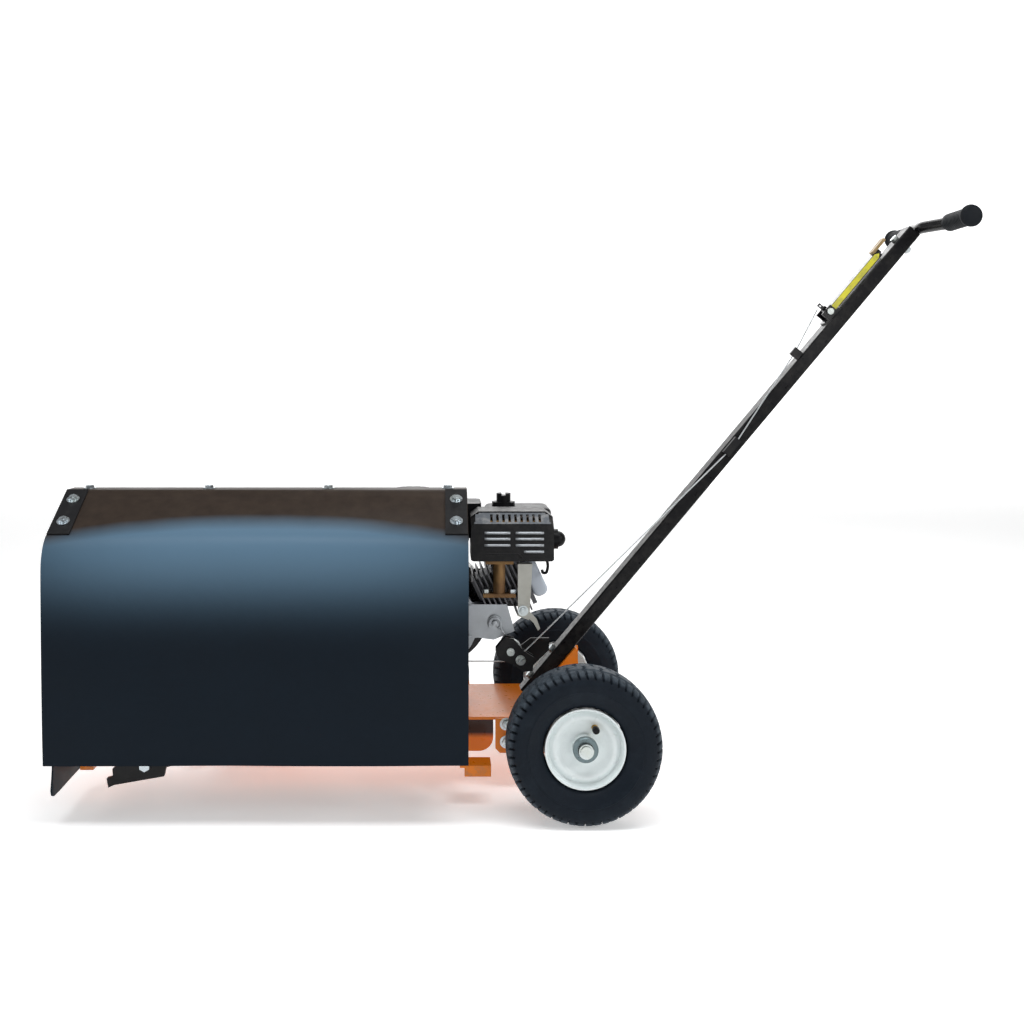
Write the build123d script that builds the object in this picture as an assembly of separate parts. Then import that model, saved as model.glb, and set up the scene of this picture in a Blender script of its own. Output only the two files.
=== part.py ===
from build123d import *
import os
from math import sin, cos, radians, degrees, sqrt, pi, acos, atan2

# ---------------------------------------------------------------------------
# Walk-behind, engine-driven rotor machine with a hanging side shield.
# Millimetres.  +X to the rear (operator), -Y to the shield side, +Z up.
# Origin: middle of the bottom of the whole machine, on the ground.
# ---------------------------------------------------------------------------
os.makedirs("parts", exist_ok=True)

# driving dimensions
WHEEL_D = 260.0          # 4.10/3.50-4 pneumatic tyre
TRACK = 480.0            # crown to crown
AXLE_X, AXLE_Z = 95.0, 130.0
AXLE_R = 9.5             # 3/4 in axle
TYRE_W = 88.0
RIM_R = 67.0

DECK_TOP = 129.0
ENGINE_Z = 187.0         # engine foot plane, on a riser
DECK_Y0, DECK_Y1 = -82.0, 146.0
DECK_X0, DECK_X1 = -500.0, 131.0
PLATE = 5.0

ROTOR_X, ROTOR_Z = -630.0, 142.0
ROTOR_R = 137.0
DISC_R = 78.0
CRANK_X, CRANK_Z = -154.0, 293.0
BELT_Y = -124.0
BELT_W, BELT_T = 12.5, 8.0
ENG_PULLEY_R = 38.0      # pitch radius
ROT_PULLEY_R = 60.0      # pitch radius

SHEET_T = 3.0
SH_X0, SH_X1 = -791.076, -96.0

POST_W, POST_D = 38.1, 25.4      # 1 1/2 x 1 in rectangular tube
POST_U = (0.64279, 0.76604)      # direction of the post in XZ
POST_P = (507.8, 739.2)          # a point on its axis
POST_S0, POST_S1 = -766.0, 356.0 # its two ends along that axis
BAR_R = 11.0                     # 7/8 in handlebar

nodes = {}


def add(name, shape, *more):
    solids = [s for p in (shape,) + more for s in p.solids()]
    nodes[name] = solids[0] if len(solids) == 1 else Compound(solids)


def box(x0, x1, y0, y1, z0, z1):
    return Pos((x0 + x1) / 2, (y0 + y1) / 2, (z0 + z1) / 2) * Box(x1 - x0, y1 - y0, z1 - z0)


def cyl_y(x, z, r, y0, y1):
    return Pos(x, (y0 + y1) / 2, z) * Rot(90, 0, 0) * Cylinder(r, y1 - y0)


def cyl_z(x, y, r, z0, z1):
    return Pos(x, y, (z0 + z1) / 2) * Cylinder(r, z1 - z0)


def cyl_x(y, z, r, x0, x1):
    return Pos((x0 + x1) / 2, y, z) * Rot(0, 90, 0) * Cylinder(r, x1 - x0)


def prism_y(pts, y0, y1):
    # a polygon drawn in XZ, pushed from y0 to y1
    line = Polyline(*[(x, y0, z) for x, z in pts], close=True)
    return extrude(make_face(line), amount=y1 - y0, dir=(0, 1, 0))


def prism_x(pts, x0, x1):
    # a polygon drawn in YZ, pushed from x0 to x1
    line = Polyline(*[(x0, y, z) for y, z in pts], close=True)
    return extrude(make_face(line), amount=x1 - x0, dir=(1, 0, 0))


def prism_z(pts, z0, z1):
    line = Polyline(*[(x, y, z0) for x, y in pts], close=True)
    return extrude(make_face(line), amount=z1 - z0, dir=(0, 0, 1))


def rod(p, q, r):
    p, q = Vector(*p), Vector(*q)
    d = q - p
    pl = Plane(origin=p, z_dir=d)
    return pl * Pos(0, 0, d.length / 2) * Cylinder(r, d.length)


def hexbar(p, q, af):
    # hexagonal bar between two points, af across flats
    p, q = Vector(*p), Vector(*q)
    d = q - p
    pl = Plane(origin=p, z_dir=d)
    return extrude(pl * RegularPolygon(af / 2, 6, major_radius=False), amount=d.length, dir=d.normalized())


def fil(shape, r, axis=None):
    es = shape.edges().filter_by(axis) if axis is not None else shape.edges()
    return fillet(es, r)


def hull2(c1, r1, c2, r2, y0, y1):
    # the outline of a belt round two circles, as a slab
    dx, dz = c2[0] - c1[0], c2[1] - c1[1]
    D = sqrt(dx * dx + dz * dz)
    ux, uz = dx / D, dz / D
    c = (r1 - r2) / D
    s = sqrt(1 - c * c)
    n1 = (c * ux - s * uz, c * uz + s * ux)
    n2 = (c * ux + s * uz, c * uz - s * ux)
    pts = [(c1[0] + r1 * n1[0], c1[1] + r1 * n1[1]), (c2[0] + r2 * n1[0], c2[1] + r2 * n1[1]),
           (c2[0] + r2 * n2[0], c2[1] + r2 * n2[1]), (c1[0] + r1 * n2[0], c1[1] + r1 * n2[1])]
    return prism_y(pts, y0, y1) + cyl_y(c1[0], c1[1], r1, y0, y1) + cyl_y(c2[0], c2[1], r2, y0, y1)


def on_post(s, d=0.0, y=0.0):
    # a point s along the post and d in front of its axis
    return (POST_P[0] + s * POST_U[0] - d * POST_U[1], y, POST_P[1] + s * POST_U[1] + d * POST_U[0])


# ------------------------------------------------------------------ frame --
deck = box(DECK_X0, DECK_X1, DECK_Y0, DECK_Y1, DECK_TOP - PLATE, DECK_TOP)
deck += box(DECK_X0, DECK_X1, DECK_Y1 - PLATE, DECK_Y1, 86, DECK_TOP)
# riser that lifts the engine clear of the deck
deck += box(-276, -90, -62, 62, ENGINE_Z - PLATE, ENGINE_Z)
deck += box(-276, -92, -62, -57, DECK_TOP - 1, ENGINE_Z) + box(-276, -92, 57, 62, DECK_TOP - 1, ENGINE_Z)
# ears under the shield posts
for px in (-112.5,):
    deck += box(px - 18, px + 18, -110, DECK_Y0 + 1, DECK_TOP - PLATE, DECK_TOP)
# the two plates that carry the axle
AXP = [(-44, 128), (-44, 74), (-36, 66), (131, 66), (131, 205), (85, 205), (30, 128)]
near_ax = prism_y(AXP, DECK_Y0 - 6, DECK_Y0 + 0.01)
far_ax = prism_y(AXP, DECK_Y1 - 0.01, DECK_Y1 + 6)
deck = deck + near_ax + far_ax
deck -= cyl_y(AXLE_X, AXLE_Z, AXLE_R, -160, 200)
deck -= cyl_y(AXLE_X, AXLE_Z, 14, DECK_Y0 + 0.5, DECK_Y1 - 0.5)
ENG_BOLTS = [(-181 - 81, -37.75), (-181 + 81, -37.75), (-181 - 81, 37.75), (-181 + 81, 37.75)]
for bx, by in ENG_BOLTS:
    deck -= cyl_z(bx, by, 4.2, 170, 200)
# belly plate with a rounded rear corner, under the deck
belly = box(-480, -46, -45, -40, 56, 126)
belly = fillet(belly.edges().filter_by(Axis.Y).sort_by(Axis.X)[-2:].sort_by(Axis.Z)[0], 26)
deck += belly
# step foot, on a strut from the deck
deck += box(-109, -55, -169, -123, 66, 70) + box(-101, -55, -169, -166, 51, 70)
deck += box(-109, -95, -131, -123, 66, 129) + box(-109, -95, -131, DECK_Y0 + 1, 124, 129)
add("deck_frame", deck)

# front sub-frame: two side plates, the front cross bar and the skid sleeve
SIDE = [(-330, 129.1), (-330, 187), (-500, 187), (-545, 200), (-695, 200), (-740, 187), (-769, 187), (-769, 56), (-746, 56),
        (-700, 110), (-500.2, 110), (-500.2, 129.1)]
sub = prism_y(SIDE, -82, -74) + prism_y(SIDE, 52, 60)
sub += box(-769, -746, -150, 60, 56, 70)
sub += box(-769, -740, -82, 60, 150, 187)
sub += box(-545, -500.2, -82, 60, 110, 124)
sub -= cyl_y(ROTOR_X, ROTOR_Z, 24, -90, 70)
sleeve = box(-545, -505, 60, 100, 130, 250) - box(-538, -512, 67, 93, 120, 260)
sub += sleeve
# idler pivot stud on the near plate's outer side, and its mounting strap
PIV = (-395.0, 172.0)
sub += cyl_y(PIV[0], PIV[1], 6, -111, -80)
# foot of the front shield post
sub += box(-771, -737, -112, -82, 150, 155) + box(-547, -513, -112, -82, 150, 155)
add("front_subframe", sub)

# axle, collars and nuts
nuts = []
for sgn in (-1, 1):
    for u0, u1, r in ((278.3, 284.8, 12.2), (190.0, 201.7, 16.0)):
        a, b = sorted((sgn * u0, sgn * u1))
        nuts.append(cyl_y(AXLE_X, AXLE_Z, r, a, b) - cyl_y(AXLE_X, AXLE_Z, AXLE_R, a - 1, b + 1))
add("axle", cyl_y(AXLE_X, AXLE_Z, AXLE_R, -288, 288), *nuts)

# ----------------------------------------------------------------- wheels --
def wheel(side, sgn):
    yc = sgn * TRACK / 2
    R, rr, hw = WHEEL_D / 2, RIM_R, TYRE_W / 2
    # tyre section as (radius, offset from the crown)
    sec = [(rr + 1, -26), (rr + 14, -36), (96, -hw), (112, -43), (122, -38), (128, -28), (130, -14), (130, 14),
           (128, 28), (122, 38), (112, 43), (96, hw), (rr + 14, 36), (rr + 1, 26), (rr + 1, 20), (80, 28), (92, 36),
           (108, 35), (117, 28), (120, 0), (117, -28), (108, -35), (92, -36), (80, -28), (rr + 1, -20)]
    line = Polyline(*[(AXLE_X + r, yc + t, AXLE_Z) for r, t in sec], close=True)
    ax = Axis((AXLE_X, 0, AXLE_Z), (0, 1, 0))
    tyre = revolve(make_face(line), ax, 360)
    # tread: grooves cut across the crown and the shoulders
    for i in range(28):
        a = 360 / 28 * i
        g = Rot(0, 0, 0) * (Pos(AXLE_X, 0, AXLE_Z) * Rot(0, a, 0) * Pos(0, 0, R - 1) * Box(6, 30, 9))
        g = Pos(0, 0, 0) * g
        tyre -= Pos(0, yc, 0) * (g)
    # rim: dished disc, bead seats and the hub tube
    o = sgn
    rs = [(12.6, -36), (20.5, -36), (20.5, 8), (44, 13), (56, 20), (60, 33), (66.9, 33), (66.9, 27), (62, 19),
          (62, -19), (66.9, -27), (66.9, -33), (59, -33), (59, 10), (46, 9), (20.5, 4), (20.5, 36), (12.6, 36)]
    rs = [(12.6, -36), (20.5, -36), (20.5, 14), (45, 18), (55, 12), (58.5, 0), (58.5, -33), (66.9, -33), (66.9, -27), (62, -20),
          (62, 20), (66.9, 27), (66.9, 33), (61, 33), (58, 19), (45, 23), (20.5, 19), (20.5, 36), (12.6, 36)]
    line = Polyline(*[(AXLE_X + r, yc + o * t, AXLE_Z) for r, t in rs], close=True)
    rim = revolve(make_face(line), ax, 360)
    # valve hole, drilled through the dish
    va = radians(62)
    vx, vz = AXLE_X + 36 * cos(va), AXLE_Z + 36 * sin(va)
    rim -= cyl_y(vx, vz, 4.0, min(yc + o * 4, yc + o * 40), max(yc + o * 4, yc + o * 40))
    # bushing pressed in the hub, running on the axle
    a, b = yc - 38, yc + 38
    rim += cyl_y(AXLE_X, AXLE_Z, 14, a, b) - cyl_y(AXLE_X, AXLE_Z, AXLE_R + 0.05, a - 1, b + 1)
    rim -= cyl_y(AXLE_X, AXLE_Z, AXLE_R + 0.05, a - 1, b + 1)
    y0, y1 = sorted((yc + o * 8, yc + o * 38))
    valve = cyl_y(vx, vz, 3.9, y0, y1)
    y0, y1 = sorted((yc + o * 25, yc + o * 29))
    valve += cyl_y(vx, vz, 6.0, y0, y1)
    add(side + "_tyre", tyre)
    add(side + "_rim", rim)
    add(side + "_valve", valve)


wheel("left", -1)
wheel("right", 1)

# ---------------------------------------------------------------- handle --
def post_slab(s0, s1, d0, d1, y0, y1):
    # a block aligned with the post: s along it, d in front of its axis
    pts = [on_post(s0, d0), on_post(s1, d0), on_post(s1, d1), on_post(s0, d1)]
    return prism_y([(p[0], p[2]) for p in pts], y0, y1)


H = POST_D / 2
post = post_slab(POST_S0, POST_S1, -H, H, -POST_W / 2, POST_W / 2)
post = fillet(post.edges().filter_by(lambda e: abs(e.length - (POST_S1 - POST_S0)) < 0.5), 3.0)
post -= post_slab(POST_S0 - 5, POST_S1 + 5, -H + 2.5, H - 2.5, -POST_W / 2 + 2.5, POST_W / 2 - 2.5)
BOLT_LOW, BOLT_UP, BOLT_TOP = -735.0, -672.0, 325.0
for s in (BOLT_LOW, BOLT_UP, BOLT_TOP):
    post -= rod(on_post(s, -30), on_post(s, 30), 4.5)
add("handle_post", post)

# mast: the slanted seat that the post lies on, with two cheeks standing on the deck
ZD = DECK_TOP + 0.1
seat = post_slab(-760, -640, -H - 5.1, -H - 0.1, -26, 26)
a0, a1 = on_post(-760, -H - 5.1), on_post(-640, -H - 5.1)
mast = seat
for y0, y1 in ((-26, -21), (21, 26)):
    mast += prism_y([(a0[0], a0[2]), (a1[0], a1[2]), (116, ZD + 5), (116, ZD), (a0[0] - 8, ZD)], y0, y1)
mast += box(a0[0] - 8, 116, -44, 44, ZD, ZD + 5)
for s in (BOLT_LOW, BOLT_UP):
    mast -= rod(on_post(s, -30), on_post(s, 30), 4.5)
mast -= cyl_y(AXLE_X, AXLE_Z, 16, -50, 50)
add("handle_mast", mast)

bolts = []
for s, fr, bk in ((BOLT_LOW, H, -H - 5.2), (BOLT_UP, H, -H - 5.2), (BOLT_TOP, H, -H)):
    bolts.append(rod(on_post(s, fr + 0.1), on_post(s, bk - 9), 4.0) + hexbar(on_post(s, fr + 0.1), on_post(s, fr + 6), 13))
    bolts.append(hexbar(on_post(s, bk - 0.1), on_post(s, bk - 7), 13) - rod(on_post(s, fr), on_post(s, bk - 10), 4.0))

# handlebar: 7/8 in tube, centre on the post's end, swept back to the hands
C0 = on_post(POST_S1 + BAR_R + 0.2, -6.0)
HB = [(771.5, -172, 1017.5), (769.5, -82, 1016.5), (C0[0], -24, C0[2]), (C0[0], 24, C0[2]), (769.5, 82, 1016.5), (771.5, 172, 1017.5)]
path = FilletPolyline(*HB, radius=30)
pl = Plane(origin=HB[0], z_dir=Vector(*HB[1]) - Vector(*HB[0]))
bar = sweep(pl * Circle(BAR_R), path=path) - sweep(pl * Circle(BAR_R - 1.8), path=path)
neck = post_slab(POST_S1 - 20, POST_S1 + 14, -4, 2, -16, 16) & post_slab(POST_S1 - 20, POST_S1 + 3, -H + 2.6, H - 2.6, -16, 16)
bar = bar + neck - sweep(pl * Circle(BAR_R - 1.8), path=path)
add("handlebar", bar)


def grip(sgn):
    p = Vector(HB[0][0], sgn * -HB[0][1], HB[0][2]) if sgn > 0 else Vector(*HB[0])
    w = Vector(HB[1][0], sgn * -HB[1][1], HB[1][2]) if sgn > 0 else Vector(*HB[1])
    q = p + (w - p) * 0.88
    d = (p - q).normalized()
    e = p + d * 4
    L = (e - q).length
    pl = Plane(origin=q, z_dir=d)
    g = pl * (Pos(0, 0, L / 2) * Cylinder(16, L) + Pos(0, 0, L - 5) * Cylinder(19.5, 10) + Pos(0, 0, 3) * Cylinder(18, 6))
    g -= pl * Pos(0, 0, (L - 4) / 2 - 1) * Cylinder(BAR_R + 0.2, L - 4 + 2)
    return g


add("grips", grip(-1), grip(1))

# clutch lever lying along the post, its bracket and pivot
LEV_S, LEV_D = 140.0, 24.0
lev_p = on_post(LEV_S, LEV_D)
brk = post_slab(LEV_S - 22, LEV_S + 16, H + 0.1, H + 4, -17, 17)
for y0, y1 in ((-17, -14), (14, 17)):
    brk += post_slab(LEV_S - 14, LEV_S + 10, H + 4, LEV_D + 8, y0, y1)
brk -= cyl_y(lev_p[0], lev_p[2], 3.5, -20, 20)
add("lever_bracket", brk)
lever_pin = (cyl_y(lev_p[0], lev_p[2], 3.45, -19.5, 19.5) + cyl_y(lev_p[0], lev_p[2], 6, -21.5, -17.1) + cyl_y(lev_p[0], lev_p[2], 6, 17.1, 21.5))
lev = post_slab(LEV_S, 288, LEV_D - 4.0, LEV_D + 4.0, -11, 11) + cyl_y(lev_p[0], lev_p[2], 7.0, -13.5, 13.5)
lev += post_slab(LEV_S + 20, 285, LEV_D - 8.5, LEV_D - 3.9, -11, -8) + post_slab(LEV_S + 20, 285, LEV_D - 8.5, LEV_D - 3.9, 8, 11)
lev += post_slab(LEV_S - 3, LEV_S + 3, LEV_D, LEV_D + 22, -3, 3)
lev -= cyl_y(lev_p[0], lev_p[2], 3.52, -20, 20)
lev -= cyl_y(on_post(LEV_S, LEV_D + 17)[0], on_post(LEV_S, LEV_D + 17)[2], 2.0, -20, 20)
add("clutch_lever", lev)
tip = post_slab(276, 312, LEV_D + 4.1, LEV_D + 9.5, -9, 9)
tip = fillet(tip.edges().filter_by(lambda e: abs(e.length - 5.4) < 0.05), 4)
add("lever_tip", tip)

# sheave, its two cheeks, and the arm that holds them off the post's side
SHV_X, SHV_Z, SHV_R = -17.0, 248.0, 18.0
YW = -79.0
CK = [(-43, 253), (-26, 273.5), (-11, 270), (6, 249.5), (25, 238), (23, 213.5), (4, 211.5), (-11, 224.5), (-33.5, 232), (-43, 244)]
arm = prism_y(CK, YW - 11, YW - 8) + prism_y(CK, YW + 8, YW + 11)
arm += cyl_y(12, 226, 9, YW + 10.9, -24)
arm += prism_y([(0, 214), (0, 240), (24, 258), (58, 258), (58, 236), (26, 205)], -24.2, -19.2)
arm += box(12, 23, YW - 9, YW + 9, 214.5, 222)
arm -= cyl_y(SHV_X, SHV_Z, 4.0, YW - 20, YW + 20)
add("sheave_bracket", arm)
pinb = cyl_y(SHV_X, SHV_Z, 3.95, YW - 13, YW + 13)
for u in (-1, 1):
    a, b = sorted((YW + u * 11.1, YW + u * 16))
    pinb += cyl_y(SHV_X, SHV_Z, 7, a, b)
add("pivot_pins", lever_pin, pinb)
shv = cyl_y(SHV_X, SHV_Z, 21.0, YW - 5.5, YW + 5.5)
groove = Pos(SHV_X, YW, SHV_Z) * Rot(90, 0, 0) * Torus(SHV_R + 3.3, 3.3)
shv = shv - groove - cyl_y(SHV_X, SHV_Z, 4.0, YW - 20, YW + 20)
add("cable_sheave", shv)

# bare wire rope: idler arm -> sheave -> guide on the post's side -> lever
WIRE_R = 1.2
WR = SHV_R + WIRE_R + 0.4
YG = -25.0
GX, _, GZ = on_post(-190, 4)
dxg, dzg = GX - SHV_X, GZ - SHV_Z
Dg = sqrt(dxg * dxg + dzg * dzg)
th = atan2(dzg, dxg) - acos(WR / Dg)
TX, TZ = SHV_X + WR * cos(th), SHV_Z + WR * sin(th)
IDL_X = -380.0
arm_end = (IDL_X + 12, SHV_Z - WR)
lv = on_post(LEV_S, LEV_D + 17)
w2b = on_post(LEV_S - 8, LEV_D + 17, 0)
gq = on_post(-150, 4, YG)
hq = on_post(40, H + 12, -16)
# corner where the two straight runs would meet under the sheave
cx = TX - (TZ - (SHV_Z - WR)) * (GX - TX) / (GZ - TZ)
corner = (cx, YW, SHV_Z - WR)
wpts = [(arm_end[0], YW, arm_end[1]), corner, (GX, YG, GZ), gq, hq, w2b]
wpath = FilletPolyline(*wpts, radius=[WR, 25, 25, 25])
w1 = sweep(Plane(origin=wpts[0], z_dir=(1, 0, 0)) * Circle(WIRE_R), path=wpath)
print("wire length", wpath.length, "ratio", w1.volume / (pi * WIRE_R ** 2 * wpath.length))
add("clutch_wire", w1)
# guide clip on the post's side where the wire turns along it
clip = post_slab(-188, -152, -3, 11, -30, -19.2) - post_slab(-200, -140, 0.6, 7.4, YG - 3.4, YG + 3.4)
clip2 = post_slab(32, 48, H + 0.1, H + 18, -20, -12) - post_slab(20, 60, H + 9.0, H + 16.0, -18.8, -13.2)
add("wire_guides", clip, clip2)

# ----------------------------------------------------------------- rotor --
add("rotor_bearings", *[
    (box(ROTOR_X - 45, ROTOR_X + 45, a, b, ROTOR_Z - 24, ROTOR_Z + 24) + cyl_y(ROTOR_X, ROTOR_Z, 30, c, d) + cyl_y(ROTOR_X, ROTOR_Z, 23.5, e, f)
     - cyl_y(ROTOR_X, ROTOR_Z, 12.55, -120, 90))
    for a, b, c, d, e, f in ((-90, -82.1, -96, -88, -84, -72), (60.1, 68, 66, 74, 50, 62))])
bb = []
for dx in (-38.5, 38.5):
    bb.append(hexbar((ROTOR_X + dx, -95, ROTOR_Z), (ROTOR_X + dx, -90.1, ROTOR_Z), 13))
    bb.append(hexbar((ROTOR_X + dx, 68.1, ROTOR_Z), (ROTOR_X + dx, 73, ROTOR_Z), 13))
add("rotor_shaft", cyl_y(ROTOR_X, ROTOR_Z, 12.5, -183, 84) + cyl_y(ROTOR_X, ROTOR_Z, 18, 76, 83))


def pulley(x, z, rp, y0, y1, bore, hub_r, hub_y0, hub_y1, spokes=0):
    half = BELT_W / 2 + 0.4
    p = cyl_y(x, z, rp + 5, y0, y1) - (cyl_y(x, z, rp + 8, BELT_Y - half, BELT_Y + half) - cyl_y(x, z, rp - BELT_T / 2 - 0.4, BELT_Y - half - 1, BELT_Y + half + 1))
    p += cyl_y(x, z, hub_r, hub_y0, hub_y1)
    if spokes:
        for i in range(spokes):
            a = 2 * pi * i / spokes
            m = (hub_r + rp - BELT_T) / 2
            p -= cyl_y(x + m * cos(a), z + m * sin(a), (rp - BELT_T - hub_r) / 2 - 4, y0 - 5, y1 + 5)
    return p - cyl_y(x, z, bore, y0 - 60, y1 + 60)


add("rotor_pulley", pulley(ROTOR_X, ROTOR_Z, ROT_PULLEY_R, BELT_Y - 9.5, BELT_Y + 9.5, 12.5, 24, -148, -104, 5))
disc = cyl_y(ROTOR_X, ROTOR_Z, DISC_R, -163, -155) + cyl_y(ROTOR_X, ROTOR_Z, 25, -176, -148.2)
disc -= cyl_y(ROTOR_X, ROTOR_Z, 12.5, -200, -100)
BL = [(24, -31), (17, -66), (12.2, -89.2), (-73.9, -104.2), (-83.6, -108.7), (-86.5, -92.8), (-75.6, -90.1), (-76.5, -76), (-42, -55), (-24, -31)]
blades, bbolts = [], []
for i in range(3):
    a = radians(120 * i)
    R2 = [(x * cos(a) - z * sin(a), x * sin(a) + z * cos(a)) for x, z in BL]
    pts = [(ROTOR_X + x, ROTOR_Z + z) for x, z in R2]
    blades.append(prism_y(pts, -173.1, -163.1))
    for x, z in ((0, -46), (-20, -70)):
        u, v = x * cos(a) - z * sin(a), x * sin(a) + z * cos(a)
        p, q = (ROTOR_X + u, -173.2, ROTOR_Z + v), (ROTOR_X + u, -180, ROTOR_Z + v)
        blades[-1] -= cyl_y(p[0], p[2], 5.1, -180, -150)
        disc -= cyl_y(p[0], p[2], 5.1, -180, -150)
        bbolts.append(hexbar(p, q, 17) + cyl_y(p[0], p[2], 5, -173.3, -154.8))
        bbolts.append(hexbar((p[0], -154.9, p[2]), (p[0], -149, p[2]), 17) - cyl_y(p[0], p[2], 5, -180, -140))
add("rotor_disc", disc)
add("rotor_blades", *blades)
add("rotor_fasteners", *bbolts, hexbar((ROTOR_X, -184.5, ROTOR_Z), (ROTOR_X, -176.1, ROTOR_Z), 38) - cyl_y(ROTOR_X, ROTOR_Z, 12.5, -200, -100))

# -------------------------------------------------------- crank and belt --
add("crankshaft", cyl_y(CRANK_X, CRANK_Z, 9.525, -137, -45) + cyl_y(CRANK_X, CRANK_Z, 13, -45, 60) + cyl_y(CRANK_X, CRANK_Z, 9, 60, 120))
add("engine_pulley", pulley(CRANK_X, CRANK_Z, ENG_PULLEY_R, BELT_Y - 9.5, BELT_Y + 9.5, 9.525, 18, -133.5, -100))
fly = cyl_y(CRANK_X, CRANK_Z, 82, 84, 100) - cyl_y(CRANK_X, CRANK_Z, 9, 50, 130)
for i in range(12):
    fly += Pos(CRANK_X, 106, CRANK_Z) * Rot(0, 30 * i, 0) * Pos(0, 0, 64) * Box(3, 14, 30)
add("flywheel", fly)
c1, c2 = (CRANK_X, CRANK_Z), (ROTOR_X, ROTOR_Z)
h = BELT_T / 2
belt = hull2(c1, ENG_PULLEY_R + h, c2, ROT_PULLEY_R + h, BELT_Y - BELT_W / 2, BELT_Y + BELT_W / 2)
belt -= hull2(c1, ENG_PULLEY_R - h, c2, ROT_PULLEY_R - h, BELT_Y - BELT_W, BELT_Y + BELT_W)
add("drive_belt", belt)
# belt guard: a tray open toward the machine, with its lower rear rim left open for the idler
gd = hull2(c1, ENG_PULLEY_R + 20, c2, ROT_PULLEY_R + 20, -142, -110) - hull2(c1, ENG_PULLEY_R + 17, c2, ROT_PULLEY_R + 17, -140, -100)
gd -= prism_y([(-500, 60), (-200, 60), (-200, 262), (-330, 240), (-500, 190)], -139.9, -100)
gd -= cyl_y(ROTOR_X, ROTOR_Z, 36, -150, -130)
gd += box(-542, -518, -112, -107.1, 225, 262) + box(-124, -101, -112, -107.1, 318, 345)
add("belt_guard", gd)

# idler: arm on the frame stud, pulley on the arm's end, lug for the wire
D12 = sqrt((c1[0] - c2[0]) ** 2 + (c1[1] - c2[1]) ** 2)
ux, uz = (c2[0] - c1[0]) / D12, (c2[1] - c1[1]) / D12
cc = (ENG_PULLEY_R - ROT_PULLEY_R) / D12
ss = sqrt(1 - cc * cc)
n_low = (cc * ux - ss * uz, cc * uz + ss * ux)
if n_low[1] > 0:
    n_low = (cc * ux + ss * uz, cc * uz - ss * ux)
IDR = 22.0                      # idler pulley rim
ARM_L = 92.0
# idler centre when it just meets the belt's lower run, at the arm's radius from the pivot
best = None
for k in range(0, 900):
    a = radians(270 - k * 0.1)
    p = (PIV[0] + ARM_L * cos(a), PIV[1] + ARM_L * sin(a))
    dist = (p[0] - c1[0]) * n_low[0] + (p[1] - c1[1]) * n_low[1] - (ENG_PULLEY_R + h)
    if dist > IDR + 0.6:
        best = a
    else:
        break
# at rest the lever lies flat and the idler presses the belt
REST = best
IX, IZ = PIV[0] + ARM_L * cos(REST), PIV[1] + ARM_L * sin(REST)
print("idler", degrees(REST), IX, IZ, "lug", IDL_X, SHV_Z - WR)


def bar_xz(p, q, w, y0, y1):
    dx, dz = q[0] - p[0], q[1] - p[1]
    L = sqrt(dx * dx + dz * dz)
    nx, nz = -dz / L * w, dx / L * w
    b = prism_y([(p[0] + nx, p[1] + nz), (q[0] + nx, q[1] + nz), (q[0] - nx, q[1] - nz), (p[0] - nx, p[1] - nz)], y0, y1)
    return b + cyl_y(p[0], p[1], w, y0, y1) + cyl_y(q[0], q[1], w, y0, y1)


LUG = (IDL_X, SHV_Z - WR)
arm = bar_xz(PIV, (IX, IZ), 12, -104, -98) + bar_xz(PIV, LUG, 10, -104, -98)
arm += cyl_y(PIV[0], PIV[1], 14, -108, -92) - cyl_y(PIV[0], PIV[1], 6.05, -130, -60)
arm -= cyl_y(PIV[0], PIV[1], 6.05, -130, -60)
arm += cyl_y(IX, IZ, 5.95, BELT_Y - 9, -98) + cyl_y(IX, IZ, 9, -106, -104) + cyl_y(IX, IZ, 9, BELT_Y - 12, BELT_Y - 8.6)
arm += cyl_y(LUG[0], LUG[1], 4, -100, -74) + cyl_y(LUG[0], LUG[1], 7, -74, -71)
add("idler_arm", arm)
add("idler_pulley", cyl_y(IX, IZ, IDR, BELT_Y - 8.3, BELT_Y + 8.3) - cyl_y(IX, IZ, 6.0, BELT_Y - 20, BELT_Y + 20)
    - (cyl_y(IX, IZ, IDR + 2, BELT_Y - 6.6, BELT_Y + 6.6) - cyl_y(IX, IZ, IDR - 0.001, BELT_Y - 7, BELT_Y + 7)))

# ---------------------------------------------------------------- engine --
EX, EZ = CRANK_X, ENGINE_Z
cr = box(EX - 92, EX + 38, -52, 62, EZ + 14, EZ + 176)
cr = fillet(cr.edges().filter_by(Axis.Y), 26)
cr += cyl_y(CRANK_X, CRANK_Z, 78, -64, -40) + cyl_y(CRANK_X, CRANK_Z, 30, -70, -60)
cr += box(-274, -90, -52, 55, EZ + 0.1, EZ + 16)
for k in range(8):
    a = radians(22.5 + 45 * k)
    cr += rod((CRANK_X + 70 * cos(a), -69, CRANK_Z + 70 * sin(a)), (CRANK_X + 70 * cos(a), -60, CRANK_Z + 70 * sin(a)), 6.5)
# lower casting of the head side, with its round boss
cast = prism_y([(-117, 262), (-75, 268), (-46, 264), (-8, 280), (-22, 328), (-117, 328)], -66, -40)
cast += prism_y([(-117, 240), (-90, 262), (-46, 264), (-34, 280), (-34, 300), (-117, 300)], -40, 56)
cast += cyl_y(-44, 296, 13, -72, -60) - cyl_y(-44, 296, 6, -90, -69)
cr += cast
cr -= cyl_y(CRANK_X, CRANK_Z, 13.1, -46, 70)
cr -= cyl_y(CRANK_X, CRANK_Z, 10.2, -80, -40)
cr -= box(-186, -122, -30, 52, CRANK_Z - 40, CRANK_Z + 40)
for bx, by in ENG_BOLTS:
    cr -= cyl_z(bx, by, 4.2, 180, 220)
add("crankcase", cr)

HA = radians(25)
hu, hv = (cos(HA), sin(HA)), (-sin(HA), cos(HA))


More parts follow.
